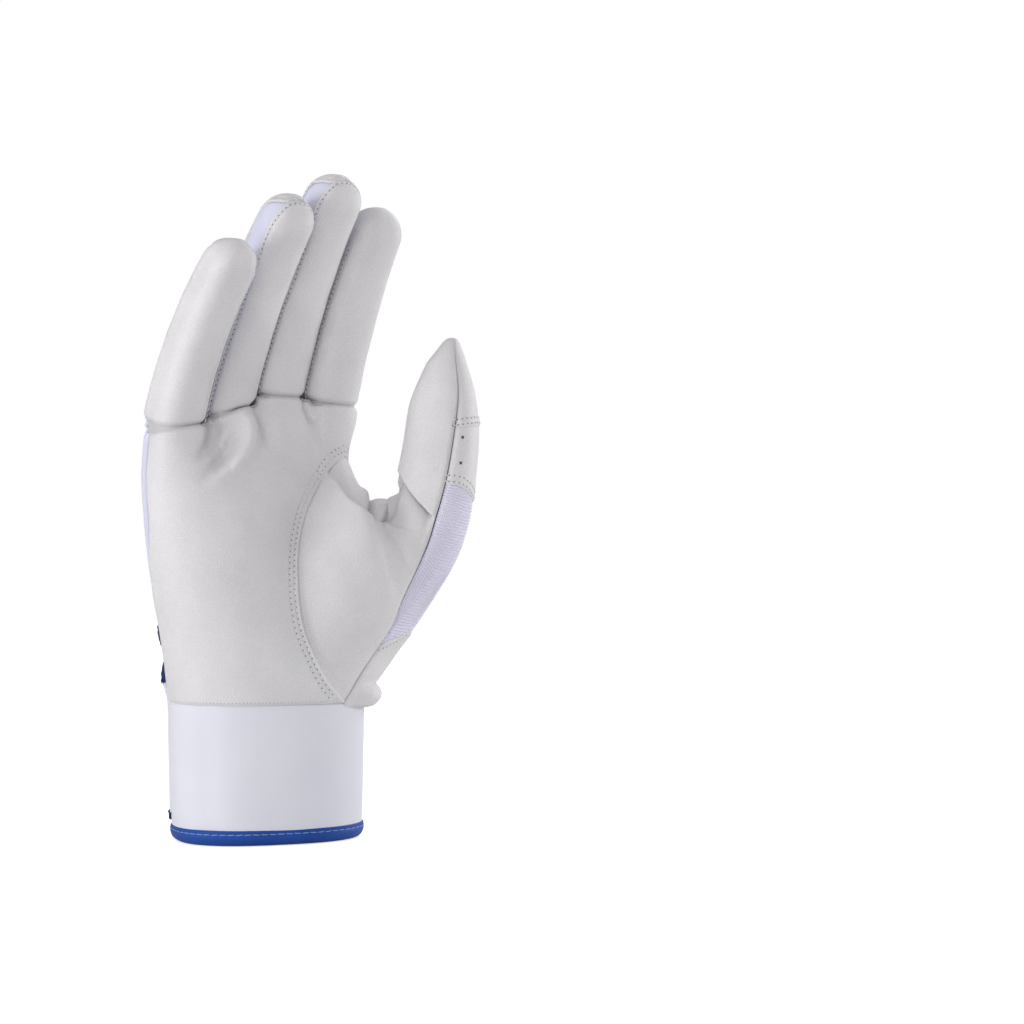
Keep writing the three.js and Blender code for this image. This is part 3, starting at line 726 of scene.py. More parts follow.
# The thumb's ball: an oval cut out of the palm, then rings up to the tip
oval = {"angle": 29.5, "angleHalf": 64.5, "skew": 14.0, "share": 0.38, "shareHalf": 0.46, "draw": 8.5}
ovalTop, ovalPeak = oval["share"] + oval["shareHalf"], oval["angle"] + oval["skew"]
thumb = {"spread": -38.0, "tip": (65.6, 130.5), "seam": (34, 45, 60, 78, 82, 76, 70, 60, 60, 66),
         "inner": 210.0, "mesh": 352.0, "patch": 1.25, "back": 3.65, "fold": 4.55, "vent": 6.1,
         "heelRoll": 4.4, "heelTop": 0.34, "heelEnd": -0.12, "heelSag": 3.0, "pull": (4.0, -3.8),
         "square": 2.2}
thumbSections = (  # inner and outer edge in the plane of the spread, depth, half-thickness
    ((31.2, 78.2), (45.0, 14.5), 12.0, 23.0), ((36.8, 71.0), (53.2, 26.0), 13.0, 19.0),
    ((42.4, 66.3), (65.8, 46.0), 14.5, 15.5), ((44.8, 72.0), (72.0, 61.8), 15.0, 13.8),
    ((46.4, 81.0), (74.6, 79.6), 15.0, 12.6), ((48.2, 93.2), (75.6, 97.2), 14.4, 11.6),
    ((50.6, 107.6), (74.0, 111.4), 13.4, 10.2), ((56.4, 121.2), (70.7, 122.6), 12.6, 7.4))


def ovalAt(turn):
    c, s = np.cos(turn), np.sin(turn)
    drawn = oval["draw"] * np.maximum(0, c) ** 0.7 * soft((s + 0.98) / 0.7)  # palm side drawn in
    angle = oval["angle"] + oval["skew"] * s + oval["angleHalf"] * c - drawn
    return angle, oval["share"] + oval["shareHalf"] * s


def ovalEdge(share, side):
    turn = np.arcsin(np.clip((share - oval["share"]) / oval["shareHalf"], -1, 1))
    return ovalAt(turn if side > 0 else np.pi - turn)[0]


def ovalCeiling(angle):
    low, high = np.full_like(angle, np.pi / 2), np.full_like(angle, np.pi)
    for _ in range(40):
        turn = 0.5 * (low + high)
        above = ovalAt(turn)[0] > angle
        low, high = np.where(above, turn, low), np.where(above, high, turn)
    return ovalAt(low)[1]


def inSpread(right, deep, up):
    c, s = cosSin(thumb["spread"])
    return np.stack([right * c - deep * s, right * s + deep * c, cuff["height"] + up + 0 * right], -1)


def thumbPoint(angle, k):
    c, s = cosSin(angle)
    roundC, roundS = rounded(c, thumb["square"]), rounded(s, thumb["square"])
    ovalAngle, ovalShare = ovalAt(np.radians(angle - 90))
    rings = [handPoint(ovalAngle, np.maximum(0.002, ovalShare))]
    for inner, outer, deep, thick in thumbSections:
        t = 0.5 + 0.5 * roundC
        rings.append(inSpread(mix(inner[0], outer[0], t), deep - thick * roundS,
                              mix(inner[1], outer[1], t)))
    rings = np.stack(rings)
    last = len(thumbSections)
    heel = soft((c - 0.84) / 0.13)
    p = through(rings, np.minimum(np.where(k < 0, k * (1 - heel), k), last))
    under = np.clip((thumb["heelTop"] - k) / (thumb["heelTop"] - thumb["heelEnd"]), 0, 1)
    roll = thumb["heelRoll"] * np.sin(np.pi * under) * heel
    sag = thumb["heelSag"] * soft(under) * heel
    p = p + inSpread(roll, 0.0, -cuff["height"]) - np.stack([0 * k, 0 * k, sag], -1)
    inner, outer, deep, _ = thumbSections[-1]
    middle = inSpread(np.array(0.5 * (inner[0] + outer[0])), deep, 0.5 * (inner[1] + outer[1]))
    tip = inSpread(np.array(thumb["tip"][0]), deep, thumb["tip"][1])
    c, s = cosSin(90 * np.clip(k - last, 0, 1))
    foot = inSpread(np.array(0.0), 0.0, 0.0)
    pull = inSpread(mix(*thumb["pull"], 0.5 + 0.5 * roundC), 0.0, 0.0) - foot  # slopes in on both sides
    dome = middle + (rings[last] - middle) * c[:, None] + (tip - middle) * s[:, None]
    dome = dome + pull * (s * c * c)[:, None]
    return np.where((k > last)[:, None], dome, p)


def thumbSeam(k):
    return through(np.array(thumb["seam"], float), np.atleast_1d(np.asarray(k, float)))


def thumbMiddle(k):  # centre of the thumb at a station
    ring = thumbPoint(np.array((0.0, 180.0)), np.array((k, k), float))
    return ring.mean(axis=0)


def between(left, right, point):  # surface whose columns run from one moving edge to the other
    return lambda c, v: point(mix(left(v), right(v), c), v)


# Palm leather
palmLook = {  # grooves are depth, half-width and darkness of painted shade, uneven is height, size and seed
    "thick": 1.0, "gap": 0.3, "indexEdge": -18.0, "ulnarEdge": 198.0, "ulnarDip": 16.0, "ulnarSteady": 165.0,
    "steady": 125.0, "lip": 0.35, "lipWide": 5.0, "rows": (1.9, 3.8), "rowGroove": (0.2, 0.5, 0.2),
    "crease": (0.7, 0.9, 0.7), "wrist": (0.35, 0.8, 0.25), "edge": (0.6, 0.9, 0.4), "uneven": (0.16, 9.0, 1),
    "even": 60, "round": 0.7, "wristStitch": 0.9}
valley = {  # both sides fall towards the ball's seam, "from" to "stepOver" are pixels of the photo
    "deep": 2.9, "palm": 17.0, "ball": 9.0, "way": (-0.03, -0.97, 0.22), "from": 455, "fromOver": 70,
    "to": 695, "toOver": 80, "seamEnd": (322, 494), "seamOver": (10, 12), "stepFrom": 500, "stepOver": 120}
palmFolds = (  # path on the photo, half-width, height, darkness of painted shade
    (((215, 416), (212, 440), (194, 464)), 2.4, -2.6, 0),
    (((232, 398), (248, 430), (241, 458), (204, 492)), 3.2, 3.6, 0),
    (((230, 430), (227, 454), (194, 486)), 2.4, -1.8, 0),
    (((252, 398), (262, 424), (268, 452)), 2.2, -1.1, 0),
    (((298, 398), (309, 413), (320, 424)), 1.8, -0.9, 0),
    (((150, 437), (185, 436), (212, 430)), 2.2, 0.5, 0))
ovalGap = palmLook["gap"]
palmEdge = palmLook["ulnarEdge"] - ovalGap
palmPeak = ovalPeak + ovalGap
palmColumns = np.unique(np.concatenate([spaced(palmLook["indexEdge"] + ovalGap, palmPeak, 44),
                                        spaced(palmPeak, 130, 130), spaced(130, palmEdge, 70)]))
palmRows = np.unique(np.concatenate([spaced(-0.004, ovalTop, 120), spaced(ovalTop, 1.002, 40)]))


def ulnarAt(share):
    return palmLook["ulnarEdge"] - palmLook["ulnarDip"] * soft((share - 0.42) / 0.25)


def palmPlace(column, v):  # angle and share of a grid point
    toEdge = np.clip((column - palmLook["ulnarSteady"]) / (palmEdge - palmLook["ulnarSteady"]), 0, 1)
    angle = column + (ulnarAt(v) - palmLook["ulnarEdge"]) * toEdge
    floor = np.where(angle < palmPeak, ovalCeiling(angle - ovalGap) + 0.004, ovalTop)
    above = mix(floor, 1.0, (v - ovalTop) / (1 - ovalTop))
    reach = ovalEdge(v, 1) - ovalPeak
    steady = np.minimum(palmLook["steady"], palmPeak + 1.25 * reach + 10)
    below = angle + np.clip((steady - angle) / (steady - palmPeak), 0, 1) * reach
    high = v >= ovalTop
    return np.where(high, angle, below), np.where(high, above, v)


peakRow = int(np.argmin(np.abs(palmRows - ovalTop)))
peakColumn = int(np.argmin(np.abs(palmColumns - palmPeak)))
cells = np.ones((len(palmRows) - 1, len(palmColumns) - 1), bool)
cells[:peakRow, :peakColumn] = False
palm = Panel(lambda c, v: handPoint(*palmPlace(c, v)), palmRows, palmColumns, cells,
             normal=lambda c, v: handNormal(*palmPlace(c, v)))
palm.even(palmLook["even"])


def seamShown(panel):  # the ball's seam ends short of the fork, where the leather runs on
    spots = onPhoto(panel.p)
    (endX, endY), (overX, overY) = valley["seamEnd"], valley["seamOver"]
    return 1 - soft((spots[..., 0] - endX) / overX) * soft((endY - spots[..., 1]) / overY)


def stepShare(panel):  # the seam's step grows on the way down
    return soft((onPhoto(panel.p)[..., 1] - valley["stepFrom"]) / valley["stepOver"])


def sinkValley(panel, toSeam, wide):
    y = onPhoto(panel.p)[..., 1]
    facing = soft((panel.n @ viewBack + 0.1) / 0.35)
    ends = soft((y - valley["from"]) / valley["fromOver"]) * soft((valley["to"] - y) / valley["toOver"])
    deep = valley["deep"] * bell(toSeam, wide) * ends * facing
    panel.p = panel.p - deep[..., None] * np.array(valley["way"])


ballLine = np.concatenate([palm.p[:peakRow, peakColumn], palm.p[peakRow, peakColumn::-1]])
toBall = palm.away(ballLine)
shown = seamShown(palm)
stepped = shown * mix(0.35, 1, stepShare(palm))
seamLip = palmLook["lip"] * soft(1.3 - toBall / palmLook["lipWide"]) + 0.5 * bell(toBall - 1.1, 0.7)
palm.relief += stepped * seamLip
sinkValley(palm, toBall, valley["palm"])
palm.roundEdge(toBall + 9 * (1 - shown), palmLook["round"])
for inset in palmLook["rows"]:
    palm.groove(toBall - inset, *palmLook["rowGroove"])
palm.press(palmLook["crease"], palm.p[-1])
palm.press(palmLook["wrist"], palm.p[0, peakColumn:])
palm.press(palmLook["edge"], palm.p[:, -1])
palm.folds(palmFolds)
palm.uneven(*palmLook["uneven"])
fit(palm.shell("palmLeather", palmLook["thick"], leather), "white_leather", ["palm_panel"], "palm")
ballTop = np.concatenate([palm.p[:peakRow, peakColumn], palm.p[peakRow, peakColumn::-1]])
palmSeams = [palm.row(ballTop[skip:-9], inset) for skip, inset in zip((7, 10), palmLook["rows"])]
sewRows("palmStitches", palmSeams, ballSeam, "white_leather", "palm")
wristRows = [palm.row(palm.p[0, peakColumn + 2:-2], palmLook["wristStitch"])]
sewRows("wristStitches", wristRows, wristSeam, "white_leather", "palm")
print("palm cut")

# Back of the hand, its edge strip and the trim that sags across it
backLook = {"thick": 1.0, "strip": 26.0, "knit": 0.8, "stitch": 1.8, "steady": 318.0,
            "uneven": (0.2, 11.0, 5), "stripEdge": (0.5, 0.8, 0.4), "edge": (0.6, 0.9, 0.5),
            "wrist": (0.7, 0.9, 0.5)}
trimLook = {"from": 196.0, "middle": 262.0, "to": 318.0, "low": 0.115, "rise": 0.165, "wide": 0.042,
            "thick": 0.8, "lift": 1.1, "round": 0.4, "stitch": 0.9}
stripTo = palmLook["ulnarEdge"] + backLook["strip"] - ovalGap
strip = Panel(lambda c, v: handPoint(mix(ulnarAt(v) + ovalGap, stripTo, c), v), spaced(0, 0.998, 140),
              spaced(0, 1, 30))
strip.press(backLook["stripEdge"], strip.p[:, 0], strip.p[:, -1], strip.p[0], strip.p[-1])
fit(strip.shell("ulnarStrip", backLook["knit"], stretch), "knit_mesh", ["ulnar_mesh_panel"], "palm")
backFrom, backTo = palmLook["ulnarEdge"] + backLook["strip"] + ovalGap, 360 + palmLook["indexEdge"] - ovalGap


def backPoint(angle, v):
    shift = np.clip((angle - backLook["steady"]) / (backTo - backLook["steady"]), 0, 1)
    return handPoint(angle + shift * np.minimum(0, ovalEdge(v, -1) - palmLook["indexEdge"]), v)


handBack = Panel(backPoint, spaced(0, 0.998, 130), spaced(backFrom, backTo, 120))
backSides = (handBack.p[:, 0], handBack.p[:, -1], handBack.p[-1])
handBack.press(backLook["edge"], *backSides[:2])
handBack.press(backLook["wrist"], handBack.p[0])
handBack.press(backLook["edge"], backSides[2])
handBack.uneven(*backLook["uneven"])
fit(handBack.shell("handBack", backLook["thick"], leather), "white_leather", ["hand_back_panel"], "palm")
backSeams = [handBack.row(line, backLook["stitch"]) for line in backSides]


def trimPoint(angle, v):
    aside = (angle - trimLook["middle"]) / (trimLook["middle"] - trimLook["from"])
    lowAt = trimLook["low"] + trimLook["rise"] * aside ** 2
    return handPoint(angle, lowAt + trimLook["wide"] * v)


trim = Panel(trimPoint, spaced(0, 1, 10), spaced(trimLook["from"], trimLook["to"], 130))
trim.relief += trimLook["lift"] * mix(0.35, 1, soft((trim.c - trimLook["from"]) / 14))
trim.roundOff(trimLook["round"], trim.p[0], trim.p[-1], trim.p[:, 0], trim.p[:, -1])
# the trim takes the darker copy of the binding blue: painted shade
fit(trim.shell("backTrim", trimLook["thick"], shadedBlueCloth), "blue_binding", ["back_trim"], "palm")
trimSeams = [trim.row(trim.p[k, 3:-3], trimLook["stitch"]) for k in (0, -1)]
sewRows("backStitches", backSeams, leatherSeam, "white_leather", "palm")
sewRows("trimStitches", trimSeams, trimSeam, "blue_binding", "palm")
print("back of the hand cut")

# Fingers: front leather with an arched end, side strips, and a back that folds over the tip
fingerLook = {  # grooves and unevenness as on the palm, without the seeds
    "thick": 1.0, "knit": 0.8, "front": 16.0, "littleFront": 42.0, "indexFront": 4.0, "back": 38.0,
    "lap": 0.5, "seamTip": 0.17, "capFrom": 0.92, "indexCap": 0.8, "capTop": 0.9975, "stitch": 1.6,
    "frontRow": (0.22, 0.55, 0.25), "backRow": (0.2, 0.55, 0.25), "crease": (0.7, 0.9, 0.7),
    "knuckle": (0.7, 1.2, 0.6), "frontUneven": (0.14, 8.0), "backUneven": (0.13, 7.0),
    "sideUneven": (0.1, 6.0), "side": 0.5, "under": 2.0, "inFold": 1.1, "foldShade": 0.8,
    "gussetBend": (15.0, 8.0), "foldBend": (13.0, 6.5), "gussetRib": 0.25, "gussetIn": 0.5, "seamReach": 40}


def sewFinger(finger):
    name, look, long = finger["name"], fingerLook, finger["long"]
    wrapOut, wrapIn = name == "index", name == "little"
    outerSeam = -look["back"] if wrapOut else look["littleFront"] if wrapIn else look["front"]
    innerSeam = 180 + look["back"] if wrapIn else 180 - (look["indexFront"] if wrapOut else look["front"])
    centre, half = 0.5 * (innerSeam + outerSeam), 0.5 * (innerSeam - outerSeam)
    wrapped = wrapOut or wrapIn
    backIn, backOut = 180 + look["back"], 360 - look["back"]
    seamAt = outerSeam if wrapIn else 180 - look["front"]
    turns = np.array(finger["turn"], float)
    seamTurn = lambda a, u: through(turns, 5 * np.clip(u, 0, 1)) * bell(a - seamAt, look["seamReach"])
    point = lambda a, u: fingerPoint(finger, a - seamTurn(a, u), u)
    capFrom = look["indexCap"] if wrapOut else look["capFrom"]
    span = [np.mean([point(np.array([a]), np.array([u]))[0] for a in (0.0, 180.0)], axis=0)
            for u in (middleFold - 0.07, middleFold + 0.07)]
    bodies = (name + "_base", name + "_tip")

    def arch(angle):  # how far up the front leather reaches, 0 where there is none
        high = rounded(np.maximum(cosSin(angle)[1], 1e-3), fingerSquare)
        dome = np.minimum(1, look["seamTip"] / high)
        plane = 1 - (1 - np.sqrt(1 - dome * dome)) * tipRound / long
        return np.where(np.abs(angle - centre) > half + 1e-6, 0, 1 if wrapped else plane)

    def capEdge(angle):  # lower edge of the leather that closes the tip, angle from -90 to 270
        side = np.where(angle < 90, angle, 180 - angle)
        free = mix(capFrom, look["capTop"], np.sin(0.5 * np.pi * np.clip((side + look["back"]) / 78, 0, 1)))
        under = mix(free, arch(angle) - 2.2 / long, soft((arch(angle) - free) * long / 1.5))
        return np.full_like(free, capFrom) if wrapped else under

    def tipped(left, right):  # a panel from left to right that closes the whole tip as well
        middle = 0.5 * (left + right)
        columns = np.unique(np.concatenate([spaced(middle - 180, left, 50), spaced(left, right, 50),
                                            spaced(right, middle + 180, 50)]))
        edgeAt = capEdge(np.where(columns > 270, columns - 360, columns))
        lowRows, highRows = spaced(-0.003, 1, 90), np.sin(np.linspace(0, 0.5 * np.pi, 26))[1:]
        rows = np.concatenate([lowRows, 1 + highRows])
        middleOf = 0.5 * (columns[1:] + columns[:-1])
        cells = np.ones((len(rows) - 1, len(columns) - 1), bool)
        cells[:len(lowRows) - 1, (middleOf < left) | (middleOf > right)] = False

        def along(c, v):
            e = np.interp(c, columns, edgeAt)
            return np.where(v <= 1, v * e, mix(e, 1.0, v - 1))

        panel = Panel(lambda c, v: point(c, along(c, v)), rows, columns, cells, ring=True)
        first, last = [int(np.argmin(np.abs(columns - a))) for a in (left, right)]
        rim = len(lowRows) - 1
        panel.outline = np.concatenate([panel.p[:rim, last], panel.p[rim, last:],
                                        panel.p[rim, :first + 1], panel.p[rim::-1, first]])
        panel.sides = panel.p[2:rim, first], panel.p[2:rim, last]
        panel.foot = panel.p[0, first:last + 1]
        panel.u = along(panel.c, panel.v)
        return panel

    if wrapped:
        front = tipped(outerSeam, innerSeam)
        sewn = front.sides[1 if wrapOut else 0]
    else:
        angles = centre - half * np.cos(np.linspace(0, np.pi, 61))
        lengths = np.concatenate([spaced(-0.003, 0.8, 80), np.linspace(0.8, 1, 41)[1:]])
        front = Panel(lambda c, v: point(c, v * arch(np.clip(c, outerSeam, innerSeam))), lengths, angles)
        front.outline = np.concatenate([front.p[:, 0], front.p[-1], front.p[::-1, -1]])
        front.foot = front.p[0]
        sewn = np.concatenate([front.p[2:, 0], front.p[-1], front.p[-1:1:-1, -1]])
    d = front.away(front.outline)
    front.relief += look["lap"] * soft(1.4 - d / 4)
    front.roundEdge(d, 0.55)
    front.groove(front.away(sewn) - look["stitch"], *look["frontRow"])
    front.press(look["crease"], front.foot)
    front.uneven(*look["frontUneven"], 11 + len(name))
    fit(front.shell(name + "Front", look["thick"], leather), "white_leather",
        [name + "_base_front", name + "_tip_front"], *bodies, span)
    rows = [front.row(sewn, look["stitch"])]

    if wrapped:
        topOf = capFrom + 2.2 / long
        back = Panel(point, spaced(-0.003, topOf, 90), spaced(backIn, backOut, 40))
        back.sides, back.foot = (back.p[2:-4, 0], back.p[2:-4, -1]), back.p[0]
        covered = soft((back.v - capFrom) * long / 1.2 + 0.7)
        d = np.minimum(back.away(back.p[:, 0]), back.away(back.p[:, -1]))
    else:
        back = tipped(backIn, backOut)
        covered = soft((arch(np.where(back.c > 270, back.c - 360, back.c)) - back.u) * long / 1.2 + 0.7)
        d = back.away(back.outline)
    back.relief += mix(0.12, -0.6, covered)
    back.roundEdge(np.where(covered > 0.5, 9, d), 0.45)
    back.groove(np.where(covered > 0.3, 9, d - look["stitch"]), *look["backRow"])
    back.press(look["knuckle"], back.foot)
    back.uneven(*look["backUneven"], 23 + len(name))
    fit(back.shell(name + "Back", look["thick"], leather), "white_leather",
        [name + "_base_back", name + "_tip_back"], *bodies, span)
    rows += [back.row(line, look["stitch"]) for line in back.sides]
    sewRows(name + "Stitches", rows, leatherSeam, "white_leather", *bodies, span)

    sides = []
    if not wrapOut:
        sides.append(("outer", -look["back"] - 5, outerSeam + 34))
    if not wrapIn:
        sides.append(("inner", innerSeam - 34, backIn + 5))
    for side, low, high in sides:
        columns = spaced(low, high, 34)
        inside = np.clip(columns, -look["back"], backIn)
        free = capEdge(inside)
        topOf = np.minimum(np.maximum(free, capFrom) + 1.2 / long, 0.999)
        reach = lambda c, v: v * np.interp(c, columns, topOf)
        strip = Panel(lambda c, v: point(c, reach(c, v)), spaced(-0.003, 1, 100), columns)
        u = reach(strip.c, strip.v)
        underFront = soft((arch(strip.c) - u) * long / 1.2 + 0.5)
        underCap = soft((u - np.interp(strip.c, columns, free)) * long / 1.2 + 0.5)
        covered = np.maximum(underFront, underCap)
        strip.relief -= mix(look["side"], look["side"] + 0.6, covered)
        strip.press(look["knuckle"], strip.p[0])
        strip.uneven(*look["sideUneven"], 31 + len(name))
        nodes = [f"{name}_{part}_{side}_fourchette" for part in ("base", "tip")]
        fit(strip.shell(name + side.title() + "Strip", look["knit"], stretch), "stretch_fabric", nodes,
            *bodies, span)

    foldPoint = lambda a, v: swungPoint(finger, a, mix(stretchBack + 4.5, -1.5, v))
    swing, turnOver = [[swungPoint(finger, np.array([270.0]), np.array([a]))[0] for a in pair]
                       for pair in (look["gussetBend"], look["foldBend"])]
    gusset = Panel(foldPoint, spaced(0, 1, 28), spaced(196, 356, 70))
    gusset.relief += look["gussetRib"] * np.sin(gusset.v * np.pi * 5) - look["gussetIn"]
    fit(gusset.shell(name + "Gusset", look["knit"], stretch), "stretch_fabric", [name + "_knuckle_gusset"],
        "palm", name + "_base", swing)

    def foldFace(a, v):  # normals all round, since the fold has no width at the crease
        c, s = cosSin(a)
        return np.stack([c, -s, -0.3 * s], -1) / np.hypot(1, 0.3 * s)[:, None]

    def liningPoint(a, v):  # reaches on under the palm's edge and into the finger
        up = look["under"] * (soft(4 * v - 3) - soft(1 - 4 * v))
        return swungPoint(finger, a, mix(stretchBack + 4.5, -5.0, v)) + np.stack([0 * up, 0 * up, up], -1)

    inFold = Panel(liningPoint, spaced(0, 1, 28), spaced(-4, 198, 86), normal=foldFace)
    inFold.relief -= look["inFold"]
    # painted shade: the fold leather is darkened all over, as it lies deep in the crease
    inFold.crease += look["foldShade"]
    fit(inFold.shell(name + "FoldLeather", look["knit"], leather), "white_leather", [], "palm",
        name + "_base", turnOver)


for finger in fingers:
    sewFinger(finger)
    print(finger["name"], "finger sewn")

lidLook = {"wide": 4.0, "thick": 0.6, "dark": 0.95}
for left, right in zip(fingers[:-1], fingers[1:]):  # leather across the bottom of each crotch, darkened all over as painted shade
    middleX = left["x"] + 0.5 * (left["wide"] + fingerGap)
    across = spaced(middleX - lidLook["wide"], middleX + lidLook["wide"], 24)
    lid = Panel(lambda x, v: knuckleAt(x, v, True), spaced(0, 1, 24), across)
    lid.n = -lid.n if lid.n[..., 2].mean() < 0 else lid.n
    lid.crease += lidLook["dark"]
    fit(lid.shell(right["name"] + "Crotch", lidLook["thick"], leather), "white_leather", [], "palm")

# Thumb: its front runs on from the ball in one piece of leather
thumbLook = {"thick": 1.0, "knit": 0.8, "gap": (0.3, 0.8), "seam": 0.55, "seamWide": 0.9, "seamShade": 0.45,
             "web": 4.2, "webReach": 7.5, "webAngle": 185.0, "stitch": 1.6, "ribs": 1.2, "ribHigh": 0.16,
             "ribSlant": 0.3, "patchSlant": (0.55, -0.42), "knitClimb": 0.28, "uneven": (0.16, 9.0, 41),
             "panelUneven": (0.12, 8.0), "patchRound": 0.6, "round": 0.5, "tipLip": 0.5,
             "ventRows": (1.2, 3.4), "tipRows": (1.2, 3.2), "flexRib": 0.25, "flexTurn": 26, "ventWide": 0.6,
             "ventCorners": 14,
             "vents": ((463, 437), (461, 463))}  # places on the photo
thumbFolds = (  # path on the photo, half-width, height, darkness of painted shade
    (((371, 482), (373, 504), (377, 526)), 0.9, -2.2, 0.5),
    (((397, 480), (392, 507), (382, 530)), 0.9, -2.2, 0.5),
    (((385, 482), (382, 524)), 2.3, 1.4, 0),
    (((362, 484), (369, 514)), 1.7, 1.0, 0),
    (((380, 516), (398, 544), (414, 580)), 2.4, -0.9, 0))
thumbLips = (  # path, reach, step, darkness of painted shade
    (((330, 476), (338, 482), (344, 491), (352, 500), (360, 505), (368, 512), (377, 521), (383, 523)),
     3.6, -1.3, 0.3),)
thumbTuck = (  # path, reach, depth, lap, darkness of painted shade
    ((396, 462), (404, 479), (416, 496), (430, 511), (441, 529)), 3.4, 3.4, 1.2, 1.0)
bend = [thumbMiddle(thumb["fold"] - 0.42), thumbMiddle(thumb["fold"] + 0.42)]
thumbBodies = ("palm", "thumb", bend)
thumbGap = lambda k: mix(*thumbLook["gap"], soft((k - 1.0) / 0.8))
last = len(thumbSections)
tall = np.unique(np.concatenate([spaced(-0.05, 2, 60), spaced(2, last, 150), last + np.linspace(0, 1, 14)]))
frontFrom = lambda k: thumbSeam(k) + thumbGap(k)
frontTo = lambda k: thumb["inner"] - thumbGap(k)
frontLeather = Panel(between(frontFrom, frontTo, thumbPoint), tall, spaced(0, 1, 120))
webAngles = mix(thumbSeam(2.5), thumb["inner"], frontLeather.c[0])
webColumn = int(np.argmin(np.abs(webAngles - thumbLook["webAngle"])))
webRow = int(np.argmin(np.where(frontLeather.v[:, 0] < 4, frontLeather.p[:, webColumn, 2], 1e9)))
webAt = frontLeather.p[webRow, webColumn]


def gather(panel):  # the leather bunched up in the fork of the thumb
    d = np.linalg.norm(panel.p - webAt, axis=-1)
    panel.relief += thumbLook["web"] * bell(d, thumbLook["webReach"]) * soft(0.5 + panel.n[..., 2])


def drawIn(panel, distances):  # the side seams lie lower, but not at the tip, with painted shade along them
    atTip = mix(0.5, 1, soft((panel.v - 1.0) / 0.6)) - 0.9 * soft((panel.v - last + 0.6) / 0.9)
    for d in distances:
        panel.relief -= thumbLook["seam"] * bell(d, thumbLook["seamWide"]) * atTip
        panel.paintShade(thumbLook["seamShade"] * bell(d, 0.6))


gather(frontLeather)
toOuter, toInner = frontLeather.away(frontLeather.p[:, 0]), frontLeather.away(frontLeather.p[:, -1])
ballEdge = frontLeather.away(ballLine)
ballStep = mix(0.05, 0.3, seamShown(frontLeather) * stepShare(frontLeather))
frontLeather.relief -= ballStep * soft(1.5 - ballEdge / 3)
sinkValley(frontLeather, ballEdge, valley["ball"])
drawIn(frontLeather, (toOuter, toInner))
frontLeather.folds(thumbFolds, 0.5)
frontLeather.lips(thumbLips)
frontLeather.tuck(*thumbTuck, soft(toOuter / 3))
frontLeather.uneven(*thumbLook["uneven"])
fit(frontLeather.shell("thumbFront", thumbLook["thick"], leather), "white_leather",
    ["thenar_panel", "thumb_front"], *thumbBodies)


def patchTop(angle):  # the patch reaches higher at the outline than at the seam
    climb = mix(*thumbLook["patchSlant"], np.clip((angle - thumb["mesh"] - 20) / 36, 0, 1))
    return thumb["patch"] + climb * soft((angle - 300) / 40)


def foldSlant(angle):  # the knit climbs towards the seam
    return thumbLook["knitClimb"] * soft((angle - 355) / 70)


def thumbPanel(name, low, high, left, right, counts, thick, finish, slot, nodes, seed, stretchy=0.0,
               slant=""):
    rows = spaced(low, min(high, last), counts[0])
    if high > last:
        rows = np.concatenate([rows, last + np.linspace(0, 1, 14)[1:]])

    def surface(c, k):
        angle = mix(left(k), right(k), c)
        if slant == "top":
            k = mix(low, patchTop(angle), (k - low) / (high - low))
        if slant == "foot":
            k = mix(patchTop(angle) - 0.06, high + foldSlant(angle) * (high > 4), (k - low) / (high - low))
        if slant == "vent":
            k = mix(low + foldSlant(angle), high, (k - low) / (high - low))
        return thumbPoint(mix(left(k), right(k), c), k)

    panel = Panel(surface, rows, spaced(0, 1, counts[1]))
    drawIn(panel, [panel.away(line) for line in (panel.p[:, 0], panel.p[:, -1])])
    panel.relief -= stretchy
    gather(panel)
    panel.uneven(*thumbLook["panelUneven"], seed)
    return panel, lambda: fit(panel.shell(name, thick, finish), slot, nodes, *thumbBodies)


innerEdge = lambda k: thumb["inner"] + thumbGap(k)
outerEdge = lambda k: 360 + thumbSeam(k) - thumbGap(k)
meshEdge = lambda k: thumb["mesh"] + 0 * k
thick, knit = thumbLook["thick"], thumbLook["knit"]
patch, make = thumbPanel("thumbPatch", thumb["heelEnd"], thumb["patch"], innerEdge, outerEdge, (50, 90),
                         thick, leather, "white_leather", ["thumb_base_patch"], 51, slant="top")
patch.roundOff(thumbLook["patchRound"], patch.p[-1])
make()
mesh, make = thumbPanel("thumbMesh", thumb["patch"] - 0.06, thumb["fold"] + 0.05, meshEdge, outerEdge,
                        (520, 44), knit, meshKnit, "knit_mesh", ["thumb_mesh_panel"], 52, 0.4, slant="foot")
lying = mesh.p[..., 2] + thumbLook["ribSlant"] * (mesh.p @ viewRight)
mesh.relief += thumbLook["ribHigh"] * np.sin(lying * 2 * np.pi / thumbLook["ribs"])
make()
_, make = thumbPanel("thumbBack", thumb["patch"] - 0.03, thumb["back"], innerEdge, meshEdge, (70, 60),
                     thick, leather, "white_leather", ["thumb_back_panel"], 53, slant="foot")
make()
flex, make = thumbPanel("thumbFlexGusset", thumb["back"] - 0.04, thumb["fold"] + 0.05, innerEdge, meshEdge,
                        (40, 60), knit, stretch, "stretch_fabric", ["thumb_flex_gusset"], 54, 0.3)
flex.relief += thumbLook["flexRib"] * np.sin(flex.v * thumbLook["flexTurn"])
make()
vent, make = thumbPanel("thumbVent", thumb["fold"] - 0.03, thumb["vent"] + 0.08, innerEdge, outerEdge,
                        (60, 80), thick, leather, "white_leather", ["thumb_vent_panel"], 55, slant="vent")
vent.roundOff(thumbLook["round"], vent.p[0])
make()
tipBack, make = thumbPanel("thumbTipBack", thumb["vent"] - 0.02, last + 1, innerEdge, outerEdge, (50, 80),
                           thick, leather, "white_leather", ["thumb_tip_back"], 56)
tipBack.relief += thumbLook["tipLip"] * soft(1.5 - tipBack.away(tipBack.p[0]) / 3)
tipBack.roundOff(thumbLook["round"], tipBack.p[0])
make()
thumbSeams = [patch.row(patch.p[-1], thumbLook["stitch"])]
